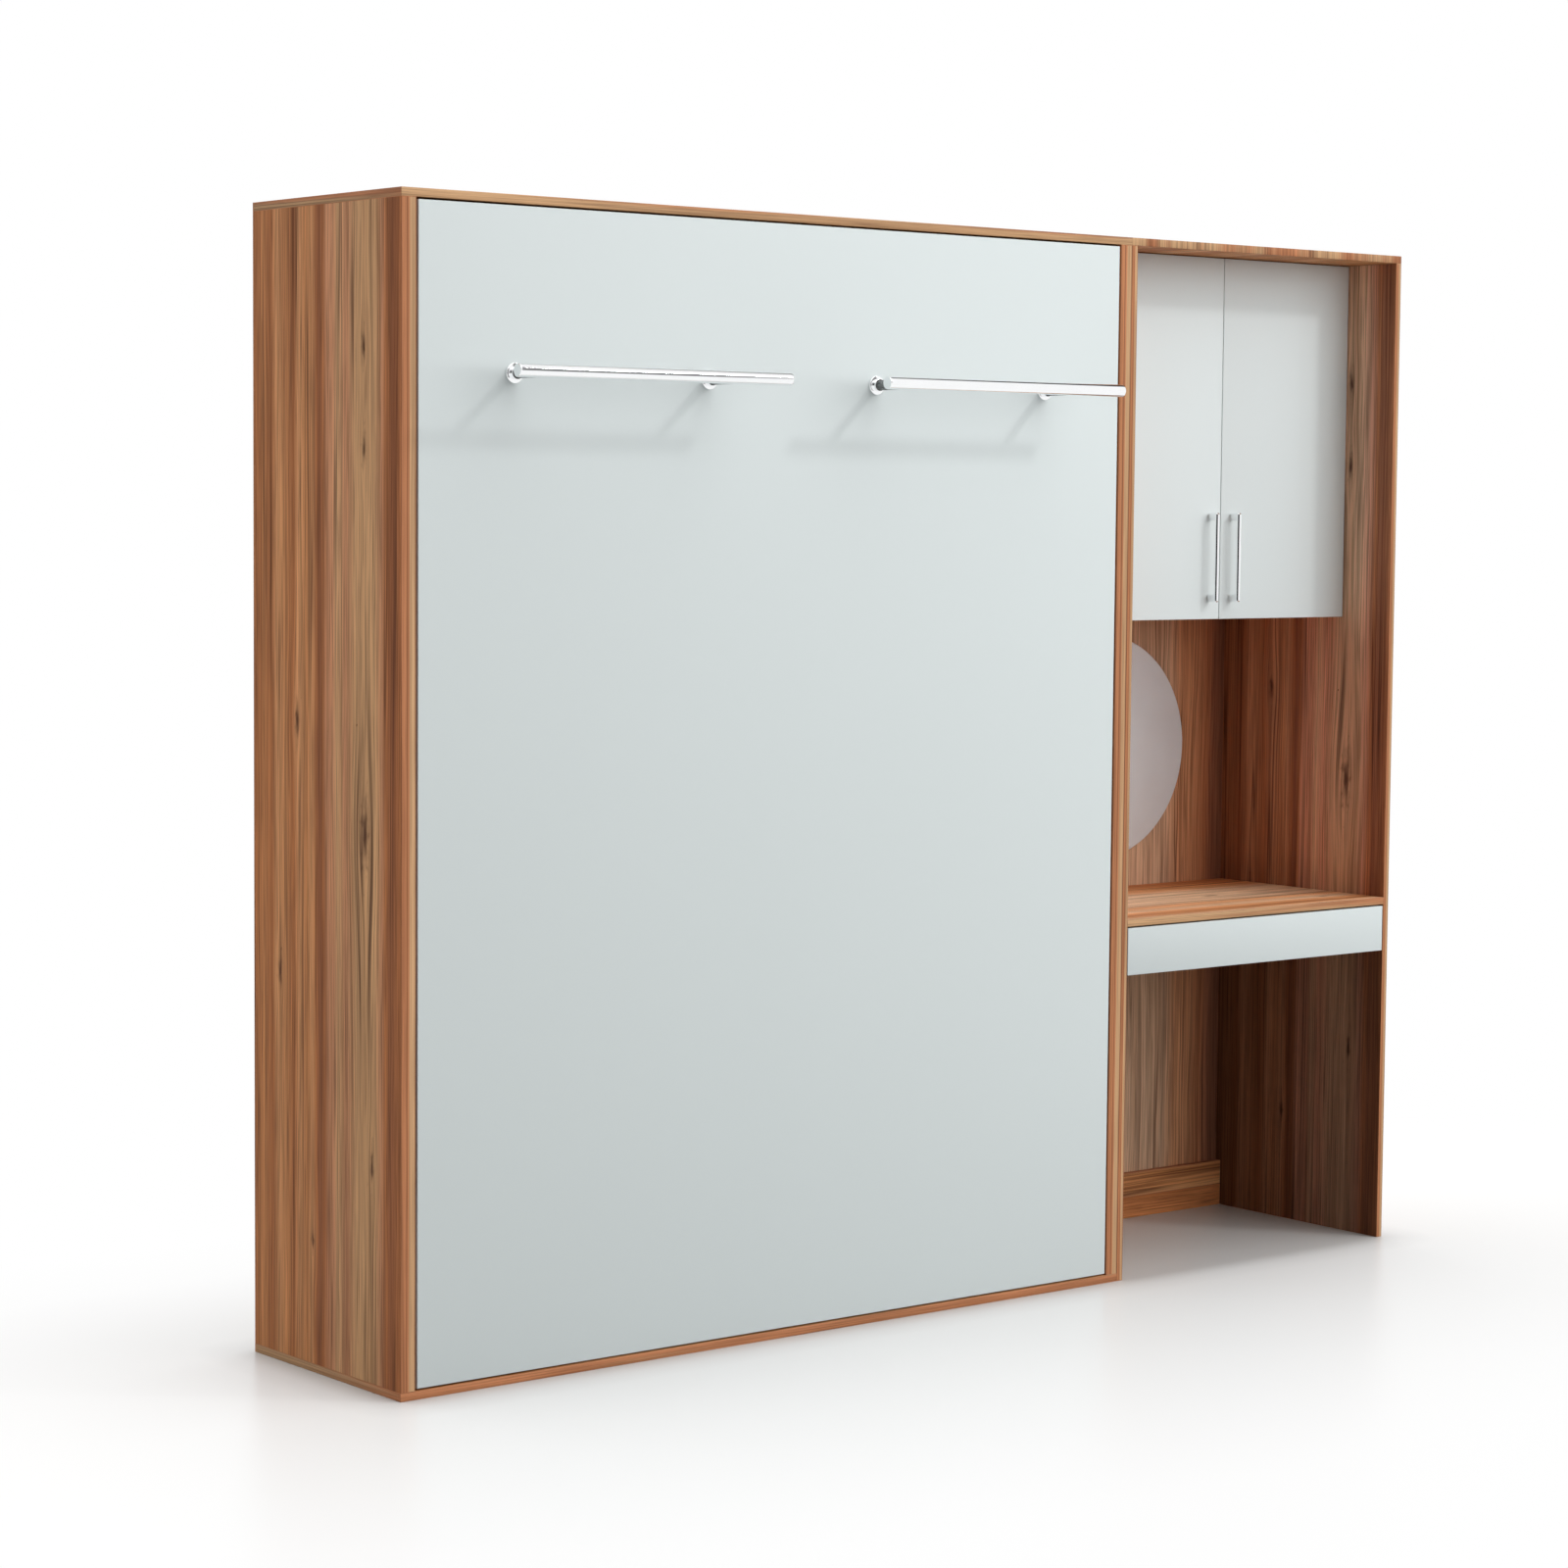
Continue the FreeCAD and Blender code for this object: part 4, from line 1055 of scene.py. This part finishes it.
class WALLBED_OT_fronts(bpy.types.Operator):
    """Lacquered front panel, doors and drawer front"""

    bl_idname = "wallbed.fronts"
    bl_label = "Fronts"

    def execute(self, context):
        for node, finish in (
            ("front_panel", "lacquer"),
            ("drawer_front", "lacquer"),
            ("door_left", "door"),
            ("door_right", "door"),
        ):
            low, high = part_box(node)
            if node == "drawer_front":
                high.z -= sizes().drawer_gap
            piece = add_block(node + "_lacquered", low, high)
            round_edges(piece, sizes().front_round, 3)
            paint(piece, finish)
            if finish == "door":
                self.sink_cups(piece, high.y, node.replace("door", "hinge_cups"))
            fit(piece, node)
        return {"FINISHED"}

    @staticmethod
    def sink_cups(door, back, cups):
        """Round pockets in the back of a door for its hinge cups."""
        low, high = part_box(cups)
        for z in (low.z + sizes().cup_ear, high.z - sizes().cup_ear):
            centre = ((low.x + high.x) / 2, back, z)
            carve(door, add_round("cup_cutter", centre, "Y", sizes().cup_radius, sizes().cup_depth * 2, 48))
        smooth(door)


class WALLBED_OT_bars(bpy.types.Operator):
    """Chrome pull bars with their posts, flanges and end caps"""

    bl_idname = "wallbed.bars"
    bl_label = "Pull bars"

    def execute(self, context):
        first_low, first_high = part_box("bar_tube_left")
        flange_low, flange_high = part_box("bar_flanges")
        post_low, post_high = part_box("bar_posts")
        front = flange_high.y
        flange = (flange_high.z - flange_low.z) / 2
        thickness = front - flange_low.y
        collar = (post_high.z - post_low.z) / 2
        cap = first_low.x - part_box("bar_end_caps")[0].x
        spacing = ((first_low + first_high) / 2).x - (flange_low.x + flange)
        caps, posts, flanges = [], [], []
        for node in ("bar_tube_left", "bar_tube_right"):
            low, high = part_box(node)
            centre = (low + high) / 2
            radius = (high.z - low.z) / 2
            tube = add_round(node + "_plated", centre, "X", radius, high.x - low.x)
            hollow(tube, "X", sizes().tube_wall)
            fit(polish(tube, "chrome"), node)
            for sign, x in ((-1, low.x), (1, high.x)):
                caps.append(self.make_cap(x, centre, radius, cap, sign))
            for sign in (-1, 1):
                x = centre.x + sign * spacing
                flanges.append(self.make_flange(x, centre.z, front, flange, thickness))
                posts.append(self.make_post(x, centre, front - thickness, collar))
        for node, pieces in (("bar_end_caps", caps), ("bar_posts", posts), ("bar_flanges", flanges)):
            fit(join(pieces, node + "_plated"), node)
        return {"FINISHED"}

    @staticmethod
    def make_cap(x, centre, radius, thickness, sign):
        """A turned cap with a wide chamfer and a slightly raised middle."""
        cap = add_round("cap", (x + sign * thickness / 2, centre.y, centre.z), "X", radius, thickness)
        with shaping(cap, "FACE", lambda face: face.normal.x * sign > 0.9):
            bpy.ops.mesh.inset(thickness=thickness / 2)
            bpy.ops.mesh.inset(thickness=radius * 0.35)
        outer = x + sign * thickness

        def on_rim(edge):
            spot = middle(edge)
            away = math.hypot(spot.y - centre.y, spot.z - centre.z)
            return abs(spot.x - outer) < 1e-5 and away > radius * 0.97

        bevel(cap, thickness / 2, 3, on_rim)
        return polish(cap, "chrome")

    @staticmethod
    def make_flange(x, z, front, radius, thickness):
        """A round flange with a rolled rim."""
        half = front - thickness / 2
        flange = add_round("flange", (x, half, z), "Y", radius, thickness)
        bevel(flange, thickness * 0.4, 5, front_rim(half))
        return polish(flange, "chrome")

    @staticmethod
    def make_post(x, centre, start, collar_radius):
        """A post that steps out of its collar and meets the bar."""
        collar = sizes().post_collar
        post = add_round("post", (x, start - collar / 2, centre.z), "Y", collar_radius, collar)
        with shaping(post, "FACE", lambda face: face.normal.y < -0.9):
            bpy.ops.mesh.inset(thickness=collar_radius - sizes().post_radius)
            push_out((0, centre.y - (start - collar), 0))

        def on_collar(edge):
            away = math.hypot(middle(edge).x - x, middle(edge).z - centre.z)
            return not runs_along(edge, "Y") and away > collar_radius * 0.9

        bevel(post, sizes().metal_round, 3, on_collar)
        return polish(post, "chrome")


class WALLBED_OT_handles(bpy.types.Operator):
    """Square bow handles of the cupboard doors"""

    bl_idname = "wallbed.handles"
    bl_label = "Door handles"

    def execute(self, context):
        bow, leg = sizes().handle_bow, sizes().handle_leg
        for node in ("door_handle_left", "door_handle_right"):
            low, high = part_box(node)
            piece = add_block(node + "_plated", low, Vector((high.x, low.y + bow, high.z)))
            cut_at(piece, "Z", low.z + leg)
            cut_at(piece, "Z", high.z - leg)

            def is_foot(face):
                z = face.calc_center_median().z
                return face.normal.y > 0.9 and (z < low.z + leg or z > high.z - leg)

            with shaping(piece, "FACE", is_foot):
                push_out((0, high.y - low.y - bow, 0))
            round_edges(piece, sizes().handle_chamfer, 1)
            fit(paint(piece, "chrome"), node)
        return {"FINISHED"}


class WALLBED_OT_mirror(bpy.types.Operator):
    """Round mirror with a ground edge"""

    bl_idname = "wallbed.mirror"
    bl_label = "Mirror"

    def execute(self, context):
        low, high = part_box("mirror_glass")
        centre = (low + high) / 2
        glass = add_round("mirror_disc", centre, "Y", (high.x - low.x) / 2, high.y - low.y, 192)
        bevel(glass, sizes().mirror_bevel / 2, 1, front_rim(centre.y))
        fit(polish(glass, "mirror"), "mirror_glass")
        paint_node("mirror_backing", "backing")
        return {"FINISHED"}


class WALLBED_OT_bed_frame(bpy.types.Operator):
    """Steel tubes, slats and holders of the bed frame"""

    bl_idname = "wallbed.bed_frame"
    bl_label = "Bed frame"

    def execute(self, context):
        for node in ("frame_rail_left", "frame_rail_right", "frame_beam"):
            fit(self.make_rail(node + "_tube", *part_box(node), "Z"), node)
        low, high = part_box("frame_cross_rails")
        width = sizes().cross_rail
        foot = self.make_rail("cross_rail_foot", low, Vector((high.x, high.y, low.z + width)), "X")
        head = self.make_rail("cross_rail_head", Vector((low.x, low.y, high.z - width)), high, "X")
        fit(join([foot, head], "frame_cross_tubes"), "frame_cross_rails")
        self.make_slats()
        paint_node("slat_holders", "plastic")
        return {"FINISHED"}

    @staticmethod
    def make_rail(name, low, high, along):
        """A square tube with rounded corners, open at its ends."""
        rail = add_block(name, low, high)
        bevel(rail, sizes().rail_round, 4, lambda edge: runs_along(edge, along))
        hollow(rail, along, sizes().rail_wall)
        return polish(rail, "frame")

    @staticmethod
    def make_slats():
        """Two rows of slats, one modelled and the rest copied."""
        low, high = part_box("slats")
        width = sizes().slat_width
        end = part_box("frame_beam")[0].x + sizes().slat_rest
        first = add_block("slat", low, Vector((end, high.y, low.z + width)))
        round_edges(first, sizes().slat_round, 3)
        step = (high.z - low.z - width) / (sizes().slats - 1)
        row = [first]
        for number in range(sizes().slats):
            for shift in (0.0, high.x - end):
                if number or shift:
                    row.append(copy_piece(first, "slat_copy", (shift, 0, number * step)))
        fit(paint(join(row, "birch_slats"), "birch X"), "slats")


class WALLBED_OT_mattress(bpy.types.Operator):
    """Quilted mattress with a border and piping"""

    bl_idname = "wallbed.mattress"
    bl_label = "Mattress"

    def execute(self, context):
        low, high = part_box("mattress")
        rise = sizes().quilt_rise
        inset = Vector((rise, rise, rise))
        low, high = low + inset, high - inset
        counts = [max(2, round((high[axis] - low[axis]) / sizes().quilt_cell)) for axis in range(3)]
        counts = [counts[0] - counts[0] % 2, counts[1], counts[2] - counts[2] % 2]
        steps = [(high[axis] - low[axis]) / counts[axis] for axis in range(3)]
        self.sew(finishes["ticking"], low, steps)
        cover = add_block("mattress_cover", low, high)
        for axis, letter in enumerate(AXES):
            with shaping(cover, "EDGE", lambda edge, letter=letter: runs_along(edge, letter)):
                bpy.ops.mesh.subdivide(number_cuts=counts[axis] - 1, quadcorner="STRAIGHT_CUT")
        paint(cover, "ticking", "border")
        with shaping(cover, "FACE", lambda face: abs(face.normal.y) < 0.5):
            cover.active_material_index = 1
            bpy.ops.object.material_slot_assign()
        self.stitch(cover, low, high, steps)
        self.puff(context, cover)
        apply_modifier(cover, "SUBSURF", levels=1, render_levels=1)
        smooth(cover)
        piping = self.make_piping(low, high)
        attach(piping, "bed")
        fit(cover, "mattress")
        return {"FINISHED"}

    @staticmethod
    def sew(material, low, steps):
        """Darken a cloth along the diamond seams of the quilt."""
        half = sizes().quilt_span / 2
        width = 2 * sizes().stitch_width / sizes().quilt_cell

        def seamed(place, face):
            parts = split(place)
            column = reckon("DIVIDE", reckon("SUBTRACT", parts[0], low.x), steps[0])
            row = reckon("DIVIDE", reckon("SUBTRACT", parts[2], low.z), steps[2])
            off = [
                reckon("ABSOLUTE", reckon("WRAP", reckon(way, column, row), half, -half))
                for way in ("ADD", "SUBTRACT")
            ]
            seam = fade(reckon("MINIMUM", *off), 0.0, width, 0.3, 0.0)
            return blend(seam, face, tones("piping")[0])

        recolour(material, seamed)

    @staticmethod
    def stitch(cover, low, high, steps):
        """Hold the points on the piping lines and on the diamond seams."""
        group = cover.vertex_groups.new(name="seams")
        every = sizes().quilt_span
        held = []
        for vertex in cover.data.vertices:
            spot = vertex.co
            on_sides = [
                min(abs(spot[axis] - low[axis]), abs(spot[axis] - high[axis])) < 1e-5 for axis in range(3)
            ]
            if sum(on_sides) > 1:
                held.append(vertex.index)
            elif on_sides[1]:
                column = round((spot.x - low.x) / steps[0])
                row = round((spot.z - low.z) / steps[2])
                if (column + row) % every == 0 or (column - row) % every == 0:
                    held.append(vertex.index)
        group.add(held, 1.0, "REPLACE")

    @staticmethod
    def puff(context, cover):
        """Blow the cover out between its seams, no further than the quilt's rise."""
        single_out(cover)
        rest = [vertex.co.copy() for vertex in cover.data.vertices]
        bpy.ops.object.modifier_add(type="CLOTH")
        blown = cover.modifiers[-1]
        blown.settings.vertex_group_mass = "seams"
        blown.settings.use_pressure = True
        blown.settings.uniform_pressure_force = 4
        blown.settings.mass = 0.3
        blown.settings.tension_stiffness = 8
        blown.settings.shrink_min = -0.04
        blown.settings.effector_weights.gravity = 0
        blown.collision_settings.use_collision = False
        for number in range(1, 21):
            context.scene.frame_set(number)
        bpy.ops.object.modifier_apply(modifier=blown.name)
        context.scene.frame_set(1)

        # A little is left free for the smoothing that follows
        limit = sizes().quilt_rise * 0.92
        for vertex, start in zip(cover.data.vertices, rest):
            moved = vertex.co - start
            if moved.length > limit:
                vertex.co = start + moved * (limit / moved.length)

    @staticmethod
    def make_piping(low, high):
        """Corded edges all round, front and back."""
        rings = []
        for y in (low.y, high.y):
            deselect_all()
            bpy.ops.mesh.primitive_plane_add(size=1, location=(0, 0, 0), rotation=(math.pi / 2, 0, 0))
            ring = bpy.context.object
            ring.scale = (high.x - low.x, high.z - low.z, 1)
            ring.location = ((low.x + high.x) / 2, y, (low.z + high.z) / 2)
            ring = settle("piping_ring")
            with shaping(ring):
                bpy.ops.mesh.select_all(action="SELECT")
                bpy.ops.mesh.delete(type="ONLY_FACE")
            with shaping(ring, "VERT"):
                bpy.ops.mesh.select_all(action="SELECT")
                bpy.ops.mesh.bevel(offset=sizes().piping_corner, segments=6, affect="VERTICES")
            single_out(ring)
            bpy.ops.object.convert(target="CURVE")
            ring.data.bevel_depth = sizes().piping_radius
            ring.data.bevel_resolution = 3
            bpy.ops.object.convert(target="MESH")
            rings.append(bpy.context.object)
        return polish(join(rings, "mattress_piping"), "piping")


class WALLBED_OT_straps(bpy.types.Operator):
    """Webbing straps and buckles that hold the mattress"""

    bl_idname = "wallbed.straps"
    bl_label = "Straps"

    def execute(self, context):
        low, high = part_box("straps")
        straps = [self.make_strap(low, high, z) for z in (low.z, high.z - sizes().strap_width)]
        fit(paint(join(straps, "mattress_straps"), "webbing"), "straps")
        low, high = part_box("strap_buckles")
        buckles = [self.make_buckle(low, high, z) for z in (low.z, high.z - sizes().buckle_height)]
        fit(paint(join(buckles, "cam_buckles"), "plastic"), "strap_buckles")
        return {"FINISHED"}

    @staticmethod
    def make_strap(low, high, z):
        """A flat band up one side, round the corners and down the other."""
        width, corner, start = sizes().strap_width, sizes().strap_corner, sizes().strap_start
        middle_of_start = (low.x, low.y + start / 2, z + width / 2)
        deselect_all()
        bpy.ops.mesh.primitive_plane_add(size=1, location=middle_of_start, rotation=(0, math.pi / 2, 0))
        strap = bpy.context.object
        strap.scale = (width, start, 1)
        strap = settle("strap")

        def on_end(edge):
            return runs_along(edge, "Z") and middle(edge).y > low.y + start / 2

        with shaping(strap, "EDGE", on_end):
            push_out((0, high.y - corner - (low.y + start), 0))
            for x, shift in (
                (low.x + corner, (high.x - low.x - 2 * corner, 0, 0)),
                (high.x - corner, (0, low.y - (high.y - corner), 0)),
            ):
                centre = (x, high.y - corner, z)
                bpy.ops.mesh.spin(steps=8, angle=math.pi / 2, center=centre, axis=(0, 0, 1))
                push_out(shift)
        outward(strap)
        apply_modifier(strap, "SOLIDIFY", thickness=sizes().strap_depth, offset=-1)
        round_edges(strap, sizes().strap_round)
        return strap

    @staticmethod
    def make_buckle(low, high, z):
        """A cam buckle with a frame, a window and a lever."""
        buckle = add_block("buckle", (low.x, low.y, z), (high.x, high.y, z + sizes().buckle_height))
        with shaping(buckle, "FACE", lambda face: face.normal.y > 0.9):
            for rim, rise in ((0.009, -0.004), (0.004, 0.003)):
                bpy.ops.mesh.inset(thickness=rim)
                push_out((0, rise, 0))
        round_edges(buckle, sizes().buckle_round, 3)
        return buckle


class WALLBED_OT_fittings(bpy.types.Operator):
    """Finishes of the pivots, struts, hinges, runners and drawer box"""

    bl_idname = "wallbed.fittings"
    bl_label = "Fittings"

    def execute(self, context):
        for finish, names in (
            ("zinc", ("pivot_plates", "side_screws", "panel_bolts")),
            ("zinc", ("runner_outers", "runner_middles", "runner_inners")),
            ("bright", ("pivot_pins", "upper_studs", "lower_studs", "shelf_pins", "strut_rods")),
            ("bright", ("hinge_arms", "hinge_cups_left", "hinge_cups_right")),
            ("bronze", ("pivot_bushes",)),
            ("frame", ("lever_plates",)),
            ("strut", ("strut_cylinders",)),
            ("rubber", ("rubber_bumpers",)),
            ("birch Y", ("drawer_box", "drawer_bottom")),
        ):
            for node in names:
                paint_node(node, finish)
        return {"FINISHED"}


class WALLBED_PT_panel(bpy.types.Panel):
    """Pieces and settings of the wall bed"""

    bl_idname = "WALLBED_PT_panel"
    bl_label = "Wall bed"
    bl_space_type = "VIEW_3D"
    bl_region_type = "UI"
    bl_category = "Wall bed"

    def draw(self, context):
        for operator in operators:
            self.layout.operator(operator.bl_idname)
        for group in ("wall_bed_colours", "wall_bed_sizes", "wall_bed_studio"):
            settings = getattr(context.scene, group)
            box = self.layout.box()
            for name in settings.bl_rna.properties.keys():
                if name not in ("rna_type", "name"):
                    box.prop(settings, name)


groups = (WallBedColours, WallBedSizes, WallBedStudio)
operators = (
    WALLBED_OT_stage,
    WALLBED_OT_boards,
    WALLBED_OT_fronts,
    WALLBED_OT_bars,
    WALLBED_OT_handles,
    WALLBED_OT_mirror,
    WALLBED_OT_bed_frame,
    WALLBED_OT_mattress,
    WALLBED_OT_straps,
    WALLBED_OT_fittings,
)


def register():
    """Add the settings, operators and panel."""
    for cls in (*groups, *operators, WALLBED_PT_panel):
        bpy.utils.register_class(cls)
    bpy.types.Scene.wall_bed_colours = PointerProperty(type=WallBedColours)
    bpy.types.Scene.wall_bed_sizes = PointerProperty(type=WallBedSizes)
    bpy.types.Scene.wall_bed_studio = PointerProperty(type=WallBedStudio)


def unregister():
    """Remove the settings, operators and panel."""
    del bpy.types.Scene.wall_bed_studio
    del bpy.types.Scene.wall_bed_sizes
    del bpy.types.Scene.wall_bed_colours
    for cls in reversed((*groups, *operators, WALLBED_PT_panel)):
        bpy.utils.unregister_class(cls)


def main():
    """Build every piece."""
    register()
    make_boards_finishes()
    make_other_finishes()
    bpy.ops.wallbed.stage()
    bpy.ops.wallbed.boards()
    bpy.ops.wallbed.fronts()
    bpy.ops.wallbed.bars()
    bpy.ops.wallbed.handles()
    bpy.ops.wallbed.mirror()
    bpy.ops.wallbed.bed_frame()
    bpy.ops.wallbed.mattress()
    bpy.ops.wallbed.straps()
    bpy.ops.wallbed.fittings()


if __name__ == "__main__":
    main()
